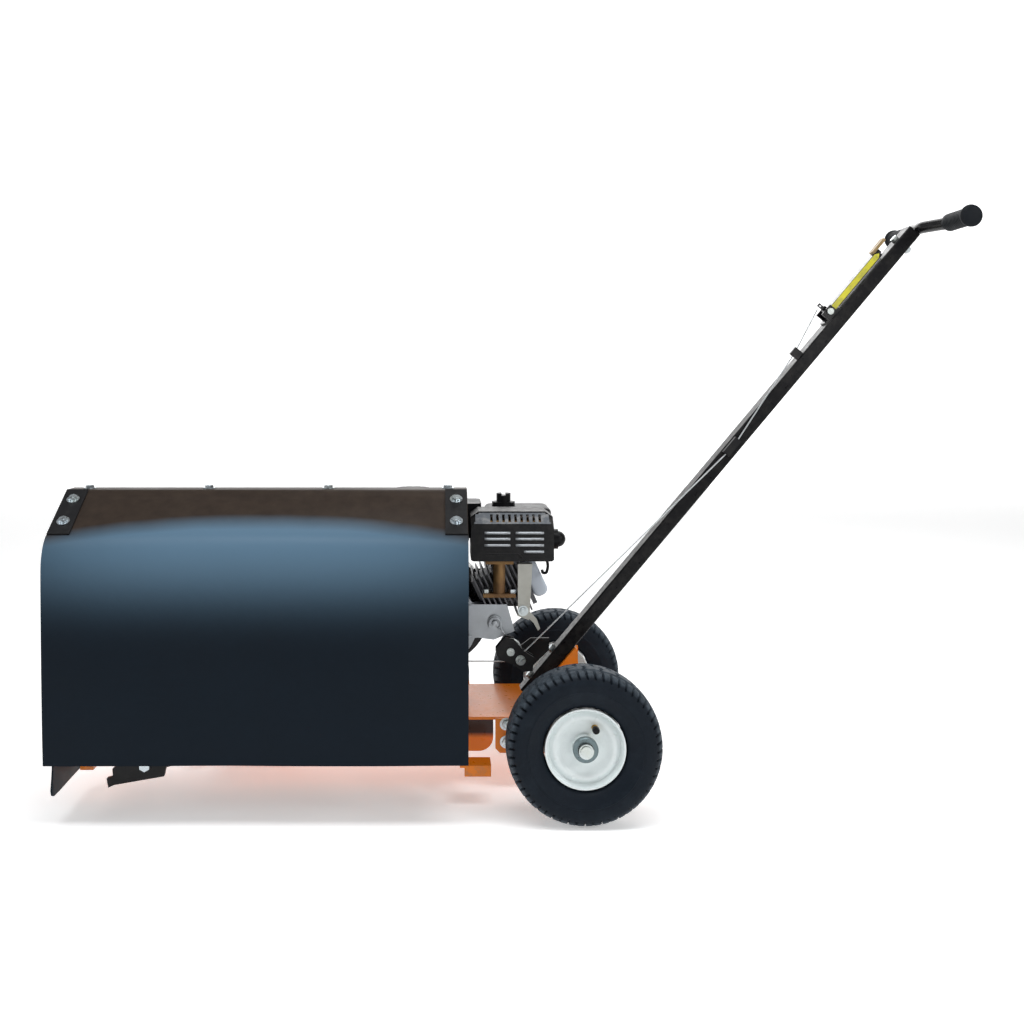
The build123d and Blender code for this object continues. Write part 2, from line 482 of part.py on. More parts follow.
def head_box(t0, t1, v0, v1, y0, y1):
    pts = [(CRANK_X + t * hu[0] + v * hv[0], CRANK_Z + t * hu[1] + v * hv[1]) for t, v in ((t0, v0), (t1, v0), (t1, v1), (t0, v1))]
    return prism_y(pts, y0, y1)


cylb = head_box(92, 178, -36, 36, -40, 44)
for k in range(9):
    t = 98 + 9.0 * k
    cylb += head_box(t, t + 3, -52, 48, -68, 61.5)
cylb += head_box(178, 186, -46, 41, -56, 58)
cylb = cylb - nodes["crankcase"] - box(-120, -8, -90, 70, 200, 329)
cs = sorted(cylb.solids(), key=lambda s: -s.volume)
add("cylinder", cs[0])
vc = head_box(186.2, 214, -40, 30, -50, 54)
vc = fillet(vc.edges().filter_by(Axis.Y), 12)
add("valve_cover", vc)

# exhaust: flange, elbow, can, louvred guard
MX0, MX1 = -88.0, 60.0
fl = box(-68, -8, -86, -72, 352, 358)
pipe_x, pipe_y = -37.0, -79.0
ex = box(-66, -8, -92, -68.2, 345, 351) + cyl_z(pipe_x, pipe_y, 11, 351, 412) - cyl_z(pipe_x, pipe_y, 8.5, 340, 420)
ex += box(-62, -12, -95, -69, 405, 410.9)
ex -= cyl_z(pipe_x, pipe_y, 8.5, 340, 420)
en = [hexbar((x, pipe_y, 351.1), (x, pipe_y, 358), 12) for x in (-60, -13)]
can = box(-72, 44, -88, -8, 420, 484)
can = fillet(can.edges().filter_by(Axis.X), 20)
can += cyl_z(pipe_x, pipe_y, 11, 404, 440)
can -= cyl_z(pipe_x, pipe_y, 8.5, 340, 430)
add("muffler", can + ex)
# guard: shell open at its inner side and bottom
gp = [(MX0, -98), (MX1, -98), (MX1, 0), (MX0, 0)]
GT = 487.6
sec = [(-100, 411), (-100, GT), (-92, 492), (-44, 498), (-10, 498), (0, 490), (0, 411)]
gsh = prism_x(sec, MX0, MX1)
gsh = fillet(gsh.edges().filter_by(Axis.Z), 5)
gsh -= prism_x([(-98, 400), (-98, GT - 1), (-91, 490), (-44, 496), (-2, 496), (-2, 400)], MX0 + 2, MX1 - 2)
# the top is chamfered toward both ends
gsh -= prism_y([(MX0 - 1, 486), (MX0 + 22, 500), (MX0 - 1, 500)], -110, 10) + prism_y([(MX1 + 1, 484), (MX1 - 22, 500), (MX1 + 1, 500)], -110, 10)
gsh += prism_y([(MX0, 484), (MX0, 487.2), (MX0 + 20.5, 499 - 1.0), (MX0 + 20.5, 494)], -96, -2) & prism_x(sec, MX0, MX1)
gsh += prism_y([(MX1, 482), (MX1, 485.2), (MX1 - 20.5, 498), (MX1 - 20.5, 494)], -96, -2) & prism_x(sec, MX0, MX1)
for z in (465.5, 454.8, 443.6):
    for x0, x1 in ((-66.5, -19), (-9, 42)):
        gsh -= box(x0, x1, -110, -97, z - 2.6, z + 2.6)
gsh -= box(6, 40, -110, -97, 431, 436)
for k in range(9):
    x = -56.5 + 10.35 * k
    gsh -= box(x, x + 5.6, -88, -48, 480, 520)
add("muffler_guard", gsh)
mb = prism_y([(-4, 312), (16, 305), (18, 330), (22, 405), (-4, 405)], -92, -89)
mb += box(-4, 22, -89.5, -70, 402, 405) + prism_y([(14, 309), (24, 300), (32, 286), (36, 290), (30, 306), (17, 320)], -92, -89)
mb = mb + cyl_y(6, 322, 5, -89.2, -68.3)
add("muffler_bracket", mb)

# air cleaner, behind the guard
ac = box(-58, 66, 6, 112, 420, 494)
ac = fillet(ac.edges().filter_by(Axis.Z), 18)
ac = fillet(ac.faces().sort_by(Axis.Z)[-1].edges(), 10)
ac += cyl_z(-22, 58, 22, 488, 502)
ac += cyl_x(58, 430, 19, 60, 82) + Pos(82, 58, 430) * Sphere(15)
ac -= cyl_z(-22, 58, 4.0, 470, 520)
add("air_cleaner", ac)
kn = cyl_z(-22, 58, 3.9, 480, 506) + cyl_z(-22, 58, 13.5, 502.3, 518)
kn -= box(-26, -18, 40, 76, 514, 525)
add("air_cleaner_knob", kn)
add("carburettor", box(-52, -8, 70, 104, 372, 410) + cyl_y(-30, 391, 13, 62, 112) + box(-42, -18, 76, 98, 352, 372) + box(-48, -12, 62.2, 92, 410, 419.8))
LV = []
for nm, z in (("choke_lever", 402), ("throttle_lever", 382)):
    p = cyl_y(-16, z, 3.0, 104.3, 124) + prism_y([(-20, z - 4), (34, z - 3), (34, z + 3), (-20, z + 4)], 118, 121) + box(28, 36, 112, 130, z - 5, z + 5)
    add(nm, p)
fv = cyl_y(-30, 360, 3.0, 98.3, 112) + box(-34, -6, 108, 112, 357, 363)
add("fuel_valve_lever", fv)

# fuel tank and cap, on top, ahead of the exhaust
tk = box(-262, -94, -58, 112, 432, 508)
tk = fillet(tk.edges().filter_by(Axis.Z), 30)
tk = fillet(tk.faces().sort_by(Axis.Z)[-1].edges(), 14)
tk += fillet(box(-266, -90, -62, 116, 440, 446).edges().filter_by(Axis.Z), 32)
tk += fillet(box(-120, -66, 8, 104, 438, 503).edges().filter_by(Axis.Z), 12)
tk += cyl_z(-195, 30, 26, 500, 512) + box(-236, -130, -38, 50, EZ + 176.1, 433)
add("fuel_tank", tk)
cap = cyl_z(-195, 30, 31, 512.3, 531)
for k in range(12):
    a = radians(30 * k)
    cap -= cyl_z(-195 + 32 * cos(a), 30 + 32 * sin(a), 3, 514, 532)
add("fuel_cap", cap)

# fan shroud with the recoil starter on the far side
shd = cyl_y(CRANK_X, CRANK_Z, 106, 62.1, 126) + box(-200, 30, 62.1, 70, 300, 372)
shd = shd - cyl_y(CRANK_X, CRANK_Z, 102, 66, 122) - cyl_y(CRANK_X, CRANK_Z, 20, 60, 70)
shd -= box(-400, 100, 55, 130, 180, EZ + 1.0)
shd += cyl_y(CRANK_X, CRANK_Z, 70, 126, 158) - cyl_y(CRANK_X, CRANK_Z, 66, 120, 154)
for k in range(16):
    a = radians(22.5 * k)
    shd -= Pos(CRANK_X, 156, CRANK_Z) * Rot(0, 22.5 * k, 0) * Pos(0, 0, 46) * Box(6, 10, 26)
shd += box(-250, -222, 126, 150, 366, 376)
shd -= rod((-236, 138, 360), (-236, 138, 380), 4)
sh = box(-262, -210, 131, 145, 377, 390)
sh = fillet(sh.edges().filter_by(Axis.X), 5) + cyl_z(-236, 138, 6, 376.1, 382) + cyl_z(-236, 138, 2.4, 362, 384)
add("starter_handle", sh)
shd += box(-128, -96, 124, 132, 300, 330)
sw = cyl_y(-112, 315, 10, 132.1, 136) + box(-114.5, -109.5, 135, 143, 304, 326)
add("engine_switch", sw)
add("fan_shroud", shd)
eb = [hexbar((bx, by, EZ + 16.2), (bx, by, EZ + 22), 13) + cyl_z(bx, by, 4, DECK_TOP + 40, EZ + 17) for bx, by in ENG_BOLTS]
add("engine_fasteners", *(en + eb), cyl_y(-230, 214, 9, -75, -55.1) + box(-233, -227, -84, -75, 207, 221))

# ---------------------------------------------------------------- shield --
PZ = 538.0
posts = [(box(x - 12.5, x + 12.5, -107, -82.1, z0, PZ) - box(x - 10.5, x + 10.5, -105, -84.1, z0 - 1, PZ + 1)) for x, z0 in ((-754, 155.1), (-530.0, 155.1), (-112.5, DECK_TOP + 0.1))]
top = box(-786, -100, -149, -82, PZ, PZ + 3)
HOLES = [SH_X0 + 33 + 209.5 * k for k in range(4)]
for x in HOLES:
    top -= cyl_z(x, -130, 4.2, PZ - 5, PZ + 10)
for p in posts:
    top += p
add("shield_frame", top)
# sheet centre line in YZ: flange, slope, bend, hanging part
sec_o = [(-110, 544.1), (-151, 544.1), (-262, 477), (-276, 462), (-285, 438), (-285.5, 400), (-281, 250), (-274.5, 104)]
sec_i = [(-271.5, 104), (-278, 250), (-282.5, 400), (-282, 438.6), (-273.4, 463.4), (-260.2, 479.2 - 4.8), (-150.2, 541.1), (-110, 541.1)]
sheet = prism_x(sec_o + sec_i, SH_X0, SH_X1)
STR = 37.0
sx, sz = (-262 + 151) / 129.7, (477 - 544.1) / 129.7      # down the slope, in YZ
nx_, nz_ = sz, -sx                                        # out of the slope
if nz_ < 0:
    nx_, nz_ = -nx_, -nz_


def slope_pt(t, o):
    return (-151 + sx * t + nx_ * o, 544.1 + sz * t + nz_ * o)


strips, sbolts, ends = [], [], []
for xa, xb, xc in ((SH_X0 + 1, SH_X0 + 1 + STR, -781.0), (SH_X1 - 1 - STR, SH_X1 - 1, -106.0)):
    st = prism_x([slope_pt(3, 0.1), slope_pt(126, 0.1), slope_pt(126, 3.1), slope_pt(3, 3.1)], xa, xb)
    fln = prism_x([slope_pt(8, -3.2), slope_pt(124, -3.2), slope_pt(124, -6.2), slope_pt(8, -6.2)], xa + 1, xb - 1)
    if xc < -400:
        pl_pts = [(-84, PZ - 0.2), (-150, PZ - 0.2), slope_pt(9, -6.0), slope_pt(123, -6.0), (-276, 400), (-266, 168), (-84, 168)]
    else:
        pl_pts = [(-113, PZ - 0.2), (-150, PZ - 0.2), slope_pt(9, -6.0), slope_pt(123, -6.0), (-276, 400), (-266, 168), (-168, 168), (-168, 496), (-113, 505)]
    ep = prism_x(pl_pts, xc - 1.5, xc + 1.5)
    ep += fln
    xb0 = (xa + xb) / 2
    for f in (0.25, 0.72):
        t = 129 * f
        p0, p1 = slope_pt(t, 3.2), slope_pt(t, 9.0)
        q0 = slope_pt(t, -6.3)
        hole = rod((xb0, *slope_pt(t, 12)), (xb0, *slope_pt(t, -12)), 4.2)
        sheet -= hole
        st -= hole
        ep -= hole
        sbolts.append(hexbar((xb0, *p0), (xb0, *p1), 13) + rod((xb0, *p0), (xb0, *slope_pt(t, -11)), 4.0))
        sbolts.append(hexbar((xb0, *slope_pt(t, -6.3)), (xb0, *slope_pt(t, -11.5)), 13) - rod((xb0, *p0), (xb0, *slope_pt(t, -14)), 4.0))
    strips.append(st)
    ends.append(ep)
for x in HOLES:
    sheet -= cyl_z(x, -130, 4.2, 530, 550)
    sbolts.append(hexbar((x, -130, 544.2), (x, -130, 550), 13) + cyl_z(x, -130, 4, 529, 545))
# front flap: a rubber sheet hung in front of the front end plate, leaning forward at its tip
flap = prism_y([(-779.3, 200), (-776.3, 200), (-776.3, 150), (-780, 47), (-783, 47), (-779.3, 150)], -262, -90)
fb = []
for y in (-240, -190, -140):
    ends[0] -= cyl_x(y, 186, 3.2, -790, -770)
    flap -= cyl_x(y, 186, 3.2, -790, -760)
    fb.append(cyl_x(y, 186, 6.5, -785.5, -782.6) + cyl_x(y, 186, 3.0, -783, -775.5))
add("debris_shield", sheet)
add("clamp_strips", *strips)
add("end_plates", *ends)
add("front_flap", flap)
add("shield_bolts", *sbolts, *fb)

# ----------------------------------------------------------------- skid ---
gs = box(-536.5, -513.5, 68.5, 91.5, 5, 326)
gs += prism_y([(-610, 30), (-585, 0), (-450, 0), (-425, 30), (-430, 34), (-453, 6), (-582, 6), (-605, 34)], 46, 106)
gs += cyl_z(-525, 80, 18, 324, 332)
add("gauge_skid", gs)
add("frame_bolts", *bolts, *bb, cyl_y(-525, 215, 5, 100.2, 118) + box(-545, -505, 118, 126, 209, 221))

for name, shape in nodes.items():
    export_step(shape, "parts/" + name + ".step")
print(len(nodes), "nodes")
bbs = [s.bounding_box() for s in nodes.values()]
print("box", min(b.min.X for b in bbs), max(b.max.X for b in bbs), min(b.min.Y for b in bbs), max(b.max.Y for b in bbs), min(b.min.Z for b in bbs), max(b.max.Z for b in bbs))
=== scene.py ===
import bpy, bmesh, math, random
from mathutils import Vector, Matrix, noise

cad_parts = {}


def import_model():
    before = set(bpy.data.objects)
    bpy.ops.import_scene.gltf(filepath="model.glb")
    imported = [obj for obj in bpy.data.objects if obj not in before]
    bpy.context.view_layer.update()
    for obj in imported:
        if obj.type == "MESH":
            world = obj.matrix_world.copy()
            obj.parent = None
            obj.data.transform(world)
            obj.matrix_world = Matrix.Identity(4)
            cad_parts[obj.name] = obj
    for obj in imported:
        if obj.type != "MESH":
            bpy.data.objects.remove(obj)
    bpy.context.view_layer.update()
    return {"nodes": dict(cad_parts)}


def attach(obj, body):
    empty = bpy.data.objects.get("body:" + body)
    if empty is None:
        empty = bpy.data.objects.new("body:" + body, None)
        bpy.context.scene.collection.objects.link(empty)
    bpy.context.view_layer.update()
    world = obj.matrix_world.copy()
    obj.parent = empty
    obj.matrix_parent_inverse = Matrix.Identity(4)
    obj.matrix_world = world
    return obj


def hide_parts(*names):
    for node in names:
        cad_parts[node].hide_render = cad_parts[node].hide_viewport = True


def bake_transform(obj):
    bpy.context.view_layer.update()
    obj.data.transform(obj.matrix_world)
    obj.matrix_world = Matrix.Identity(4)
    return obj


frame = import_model()
random.seed(7)
N = frame["nodes"]
MM = 0.001
scn = bpy.context.scene

# ------------------------------------------------------------- camera, light
cam = bpy.data.cameras.new("cam")
co = bpy.data.objects.new("cam", cam)
scn.collection.objects.link(co)
co.location = (-0.138, -2.169, 0.731)
co.rotation_euler = (math.radians(90), 0, 0)
cam.sensor_width = 36
cam.lens = 1161 / 1024 * 36
cam.shift_x = 0.0674
cam.shift_y = -0.127
cam.clip_end = 60
scn.camera = co
scn.view_settings.view_transform = "Standard"
scn.view_settings.look = "None"


def area(name, loc, target, size, power, col=(1, 1, 1), sy=None):
    l = bpy.data.lights.new(name, "AREA")
    l.energy = power
    l.color = col
    l.shape = "RECTANGLE"
    l.size = size
    l.size_y = sy or size
    o = bpy.data.objects.new(name, l)
    o.location = loc
    d = Vector(target) - Vector(loc)
    o.rotation_euler = d.to_track_quat("-Z", "Y").to_euler()
    scn.collection.objects.link(o)
    return o


area("top", (-0.3, -0.95, 3.0), (-0.3, -0.35, 0.3), 3.4, 62, (0.97, 0.985, 1.0), 0.9)
area("left", (-3.4, -1.4, 1.7), (-0.3, 0, 0.4), 1.3, 20, (0.95, 0.98, 1.0))
area("right", (2.9, -2.4, 2.0), (0.2, -0.1, 0.35), 1.1, 30)
area("back", (0.6, 2.6, 2.6), (0, 0.1, 0.5), 2.2, 34)
area("front", (1.3, -3.4, 1.2), (0.1, 0, 0.3), 0.8, 8)
w = bpy.data.worlds.new("world")
scn.world = w
w.use_nodes = True
w.node_tree.nodes["Background"].inputs[0].default_value = (1, 1, 1, 1)
w.node_tree.nodes["Background"].inputs[1].default_value = 0.16


# ------------------------------------------------------------- materials
class NT:
    def __init__(self, name):
        self.m = bpy.data.materials.new(name)
        self.m.use_nodes = True
        self.t = self.m.node_tree
        self.b = self.t.nodes["Principled BSDF"]
        self.c = self.t.nodes.new("ShaderNodeTexCoord").outputs["Object"]

    def n(self, kind, **kw):
        x = self.t.nodes.new(kind)
        for k, v in kw.items():
            setattr(x, k, v)
        return x

    def l(self, a, b):
        self.t.links.new(a, b)

    def noise(self, scale, detail=4, rough=0.55, vec=None, stretch=None):
        x = self.n("ShaderNodeTexNoise")
        x.inputs["Scale"].default_value = scale
        x.inputs["Detail"].default_value = detail
        x.inputs["Roughness"].default_value = rough
        v = vec or self.c
        if stretch:
            mp = self.n("ShaderNodeMapping")
            mp.inputs["Scale"].default_value = stretch
            self.l(v, mp.inputs["Vector"])
            v = mp.outputs[0]
        self.l(v, x.inputs["Vector"])
        return x.outputs["Fac"]

    def ramp(self, fac, stops):
        r = self.n("ShaderNodeValToRGB")
        e = r.color_ramp.elements
        while len(e) < len(stops):
            e.new(0.5)
        for i, (p, c) in enumerate(stops):
            e[i].position = p
            e[i].color = c if len(c) == 4 else (*c, 1)
        self.l(fac, r.inputs[0])
        return r.outputs[0]

    def rng(self, fac, lo, hi, a=0.3, b=0.7):
        m = self.n("ShaderNodeMapRange")
        m.inputs[1].default_value = a
        m.inputs[2].default_value = b
        m.inputs[3].default_value = lo
        m.inputs[4].default_value = hi
        self.l(fac, m.inputs[0])
        return m.outputs[0]

    def mix(self, fac, a, b):
        m = self.n("ShaderNodeMix", data_type="RGBA")
        if isinstance(fac, float):
            m.inputs[0].default_value = fac
        else:
            self.l(fac, m.inputs[0])
        for s, i in ((a, 6), (b, 7)):
            if isinstance(s, tuple):
                m.inputs[i].default_value = (*s, 1)
            else:
                self.l(s, m.inputs[i])
        return m.outputs[2]

    def bump(self, h, strength=0.2, dist=0.001, prev=None):
        b = self.n("ShaderNodeBump")
        b.inputs["Strength"].default_value = strength
        b.inputs["Distance"].default_value = dist
        self.l(h, b.inputs["Height"])
        if prev is not None:
            self.l(prev, b.inputs["Normal"])
        self.l(b.outputs[0], self.b.inputs["Normal"])
        return b.outputs[0]

    def edge(self, lo=0.53, hi=0.58):
        g = self.n("ShaderNodeNewGeometry")
        return self.rng(g.outputs["Pointiness"], 0.0, 1.0, lo, hi)


def dark(c, k):
    return tuple(x * k for x in c)


def paint(name, col, rough=0.32, wear=(0.25, 0.22, 0.2), coat=0.3, var=0.12, orange_peel=0.06, seed=0.0):
    t = NT(name)
    a = t.noise(6 + seed, 3)
    b = t.noise(95, 5)
    c1 = t.mix(t.rng(a, 0.0, 1.0), dark(col, 1 - var), dark(col, 1 + var * 0.4))
    dust = t.rng(b, 0.0, 0.07, 0.52, 0.75)
    c2 = t.mix(dust, c1, tuple(min(1, x * 0.8 + 0.02) for x in col))
    scr = t.noise(420, 2, 0.5, stretch=(1, 1, 0.08))
    wearf = t.n("ShaderNodeMath", operation="MULTIPLY")
    t.l(t.edge(0.60, 0.72), wearf.inputs[0])
    t.l(t.rng(t.noise(60, 6, 0.7), 0, 1, 0.45, 0.6), wearf.inputs[1])
    c3 = t.mix(wearf.outputs[0], c2, wear)
    t.l(c3, t.b.inputs["Base Color"])
    t.l(t.rng(b, rough - 0.06, rough + 0.14), t.b.inputs["Roughness"])
    t.b.inputs["Coat Weight"].default_value = coat * 0.5
    t.b.inputs["Specular IOR Level"].default_value = 0.24
    t.b.inputs["Coat Roughness"].default_value = 0.12
    p = t.bump(t.noise(900, 2), orange_peel, 0.0004)
    t.bump(scr, 0.04, 0.0003, p)
    return t.m


def metal(name, col, rough=0.3, var=0.15, grain=(1, 1, 1), bump=0.08, scale=220, stain=None, metallic=1.0):
    t = NT(name)
    a = t.noise(scale, 5, 0.6, stretch=grain)
    b = t.noise(14, 4)
    c1 = t.mix(t.rng(a, 0, 1), dark(col, 1 - var), dark(col, 1 + var * 0.5))
    if stain:
        c1 = t.mix(t.rng(b, 0, 0.85, 0.42, 0.66), c1, stain)
    t.l(c1, t.b.inputs["Base Color"])
    t.b.inputs["Metallic"].default_value = metallic
    t.l(t.rng(a, rough - 0.07, rough + 0.15), t.b.inputs["Roughness"])
    t.bump(a, bump, 0.0006)
    return t.m


def rubber(name, col, rough=0.6, bump=0.12, scale=700, dust=(0.09, 0.085, 0.08), dusty=0.25, sheen=0.0):
    t = NT(name)
    a = t.noise(scale, 4, 0.6)
    b = t.noise(22, 5, 0.6)
    c1 = t.mix(t.rng(a, 0, 1), dark(col, 0.82), dark(col, 1.15))
    c2 = t.mix(t.rng(b, 0, dusty, 0.5, 0.72), c1, dust)
    t.l(c2, t.b.inputs["Base Color"])
    t.l(t.rng(b, rough - 0.08, rough + 0.1), t.b.inputs["Roughness"])
    t.b.inputs["Specular IOR Level"].default_value = 0.16
    if sheen:
        t.b.inputs["Sheen Weight"].default_value = sheen
    t.bump(a, bump, 0.0008)
    return t.m


ORANGE = paint("orange_paint", (0.90, 0.235, 0.006), 0.3, (0.20, 0.16, 0.13), 0.45)
ORANGE2 = paint("orange_paint_mast", (0.80, 0.22, 0.012), 0.34, (0.20, 0.16, 0.13), 0.4, seed=2.0)
BLACK = paint("black_paint", (0.006, 0.006, 0.007), 0.24, (0.030, 0.028, 0.026), 0.35, orange_peel=0.08)
BLACKS = paint("black_paint_satin", (0.007, 0.007, 0.008), 0.42, (0.030, 0.028, 0.026), 0.1, seed=3.0)
GUARDM = paint("heat_guard_paint", (0.006, 0.006, 0.007), 0.38, (0.030, 0.028, 0.026), 0.05, orange_peel=0.2)
ZINC = metal("zinc_plate", (0.62, 0.68, 0.72), 0.28, 0.14, scale=160, stain=(0.55, 0.58, 0.52))
STEEL = metal("ground_steel", (0.42, 0.42, 0.43), 0.3, 0.18, grain=(1, 12, 1), scale=260)
ALU = metal("die_cast_alu", (0.55, 0.58, 0.61), 0.42, 0.12, scale=520, bump=0.22, stain=(0.42, 0.44, 0.46))
IRON = metal("dark_casting", (0.085, 0.088, 0.095), 0.5, 0.3, scale=420, bump=0.3, metallic=0.7)
FINS = metal("cooling_fin_casting", (0.16, 0.16, 0.17), 0.45, 0.3, scale=420, bump=0.25, metallic=0.8)
WHITEA = paint("silver_white_cover", (0.62, 0.68, 0.76), 0.3, (0.4, 0.42, 0.45), 0.3)
HOT = metal("heat_stained_steel", (0.20, 0.11, 0.05), 0.5, 0.35, scale=90, bump=0.2, stain=(0.33, 0.20, 0.08), metallic=0.75)
GALV = metal("galvanised_bracket", (0.50, 0.50, 0.46), 0.42, 0.2, scale=45, bump=0.1, stain=(0.38, 0.37, 0.33))
PLASTIC = rubber("moulded_black_plastic", (0.006, 0.006, 0.007), 0.38, 0.1, 900, dusty=0.1)
TYRE = rubber("tyre_rubber", (0.0045, 0.0085, 0.0145), 0.58, 0.2, 600, dust=(0.020, 0.028, 0.038), dusty=0.4)


def tread_wear(m):
    t = m.node_tree
    b = t.nodes["Principled BSDF"]
    src = b.inputs["Base Color"].links[0].from_socket
    tc = t.nodes.new("ShaderNodeTexCoord")
    sub = t.nodes.new("ShaderNodeVectorMath")
    sub.operation = "SUBTRACT"
    sub.inputs[1].default_value = (0.095, 0.0, 0.130)
    t.links.new(tc.outputs["Object"], sub.inputs[0])
    fl = t.nodes.new("ShaderNodeVectorMath")
    fl.operation = "MULTIPLY"
    fl.inputs[1].default_value = (1, 0, 1)
    t.links.new(sub.outputs[0], fl.inputs[0])
    ln = t.nodes.new("ShaderNodeVectorMath")
    ln.operation = "LENGTH"
    t.links.new(fl.outputs[0], ln.inputs[0])
    mr = t.nodes.new("ShaderNodeMapRange")
    for i, v in ((1, 0.1185), (2, 0.1235), (3, 0.0), (4, 0.85)):
        mr.inputs[i].default_value = v
    t.links.new(ln.outputs["Value"], mr.inputs[0])
    nz = t.nodes.new("ShaderNodeTexNoise")
    nz.inputs["Scale"].default_value = 160
    t.links.new(tc.outputs["Object"], nz.inputs["Vector"])
    mu = t.nodes.new("ShaderNodeMath")
    mu.operation = "MULTIPLY"
    t.links.new(mr.outputs[0], mu.inputs[0])
    t.links.new(nz.outputs["Fac"], mu.inputs[1])
    mx = t.nodes.new("ShaderNodeMix")
    mx.data_type = "RGBA"
    t.links.new(mu.outputs[0], mx.inputs[0])
    t.links.new(src, mx.inputs[6])
    mx.inputs[7].default_value = (0.10, 0.125, 0.15, 1)
    t.links.new(mx.outputs[2], b.inputs["Base Color"])


tread_wear(TYRE)
GRIP = rubber("grip_rubber", (0.005, 0.007, 0.010), 0.55, 0.25, 800, dusty=0.12)
BELT = rubber("belt_rubber", (0.008, 0.008, 0.008), 0.7, 0.3, 500, dusty=0.3)
RIM = paint("rim_white", (0.80, 0.86, 0.86), 0.25, (0.5, 0.5, 0.48), 0.4, var=0.05)
BRASS = metal("brass", (0.62, 0.42, 0.12), 0.28, 0.15)
TAN = rubber("tan_dip", (0.36, 0.25, 0.12), 0.4, 0.1, 400, dust=(0.3, 0.22, 0.14))
POSTM = paint("black_paint_post", (0.005, 0.005, 0.006), 0.3, (0.030, 0.028, 0.026), 0.15, orange_peel=0.05, seed=5.0)
POSTM.node_tree.nodes["Principled BSDF"].inputs["Specular IOR Level"].default_value = 0.13
YELLOW = paint("plain_yellow_stripe", (0.72, 0.66, 0.05), 0.35, (0.3, 0.28, 0.1), 0.2)
WIRE = metal("galvanised_wire", (0.55, 0.57, 0.58), 0.35, 0.3, grain=(1, 1, 1), scale=1500, bump=0.5)


def sheet_mat():
    t = NT("flexible_sheet")
    sep = t.n("ShaderNodeSeparateXYZ")
    t.l(t.c, sep.inputs[0])
    a = t.noise(9, 5, 0.6)
    f = t.noise(1500, 3, 0.6)
    weave = t.noise(260, 2, 0.5, stretch=(1, 1, 0.2))
    navy_and_highlight = t.mix(t.rng(a, 0, 1), (0.0026, 0.0070, 0.0130), (0.0036, 0.0088, 0.0158))
    # painted highlight: a pale blue bloom painted on the turned-over part, strongest at mid span, fading down the
    # hanging face and toward both ends
    bz = t.n("ShaderNodeMapRange", interpolation_type="SMOOTHERSTEP")
    bz.inputs[1].default_value = 0.25
    bz.inputs[2].default_value = 0.488
    t.l(sep.outputs["Z"], bz.inputs[0])
    bp = t.n("ShaderNodeMath", operation="POWER")
    t.l(bz.outputs[0], bp.inputs[0])
    bp.inputs[1].default_value = 2.0
    bx = t.n("ShaderNodeMath", operation="MULTIPLY_ADD")
    t.l(sep.outputs["X"], bx.inputs[0])
    bx.inputs[1].default_value = 2.7
    bx.inputs[2].default_value = 2.7 * 0.45
    bxa = t.n("ShaderNodeMath", operation="ABSOLUTE")
    t.l(bx.outputs[0], bxa.inputs[0])
    bxp = t.n("ShaderNodeMath", operation="POWER")
    t.l(bxa.outputs[0], bxp.inputs[0])
    bxp.inputs[1].default_value = 3.0
    bxm = t.n("ShaderNodeMath", operation="MULTIPLY_ADD")
    t.l(bxp.outputs[0], bxm.inputs[0])
    bxm.inputs[1].default_value = -0.55
    bxm.inputs[2].default_value = 1.0
    painted_highlight_mask = t.n("ShaderNodeMath", operation="MULTIPLY")
    t.l(bp.outputs[0], painted_highlight_mask.inputs[0])
    t.l(bxm.outputs[0], painted_highlight_mask.inputs[1])
    navy_and_highlight = t.mix(painted_highlight_mask.outputs[0], navy_and_highlight, (0.105, 0.185, 0.265))
    # the sloping top is painted brown-grey, partly dust and partly a painted reflection standing in for the slope's
    # dull reflection, ending at the bend
    top = t.mix(t.rng(t.noise(40, 5), 0, 1), (0.030, 0.021, 0.016), (0.044, 0.031, 0.023))
    m = t.n("ShaderNodeMath", operation="MULTIPLY_ADD")
    t.l(t.noise(12, 3), m.inputs[0])
    m.inputs[1].default_value = 0.004
    t.l(sep.outputs["Z"], m.inputs[2])
    # the painted brown-grey band ends higher at mid span, where the sheet turns over sooner
    q = t.n("ShaderNodeMath", operation="MULTIPLY_ADD")
    t.l(sep.outputs["X"], q.inputs[0])
    q.inputs[1].default_value = 3.1
    q.inputs[2].default_value = 3.1 * 0.4435
    q2 = t.n("ShaderNodeMath", operation="POWER")
    ab = t.n("ShaderNodeMath", operation="ABSOLUTE")
    t.l(q.outputs[0], ab.inputs[0])
    t.l(ab.outputs[0], q2.inputs[0])
    q2.inputs[1].default_value = 2.4
    q3 = t.n("ShaderNodeMath", operation="MULTIPLY_ADD")
    t.l(q2.outputs[0], q3.inputs[0])
    q3.inputs[1].default_value = 0.022
    t.l(m.outputs[0], q3.inputs[2])
    k = t.rng(q3.outputs[0], 0, 1, 0.490, 0.510)
    c = t.mix(k, navy_and_highlight, top)
    t.l(c, t.b.inputs["Base Color"])
    t.l(t.rng(a, 0.40, 0.50), t.b.inputs["Roughness"])
    t.b.inputs["Specular IOR Level"].default_value = 0.11
    p = t.bump(f, 0.06, 0.0004)
    t.bump(weave, 0.03, 0.0005, p)
    return t.m


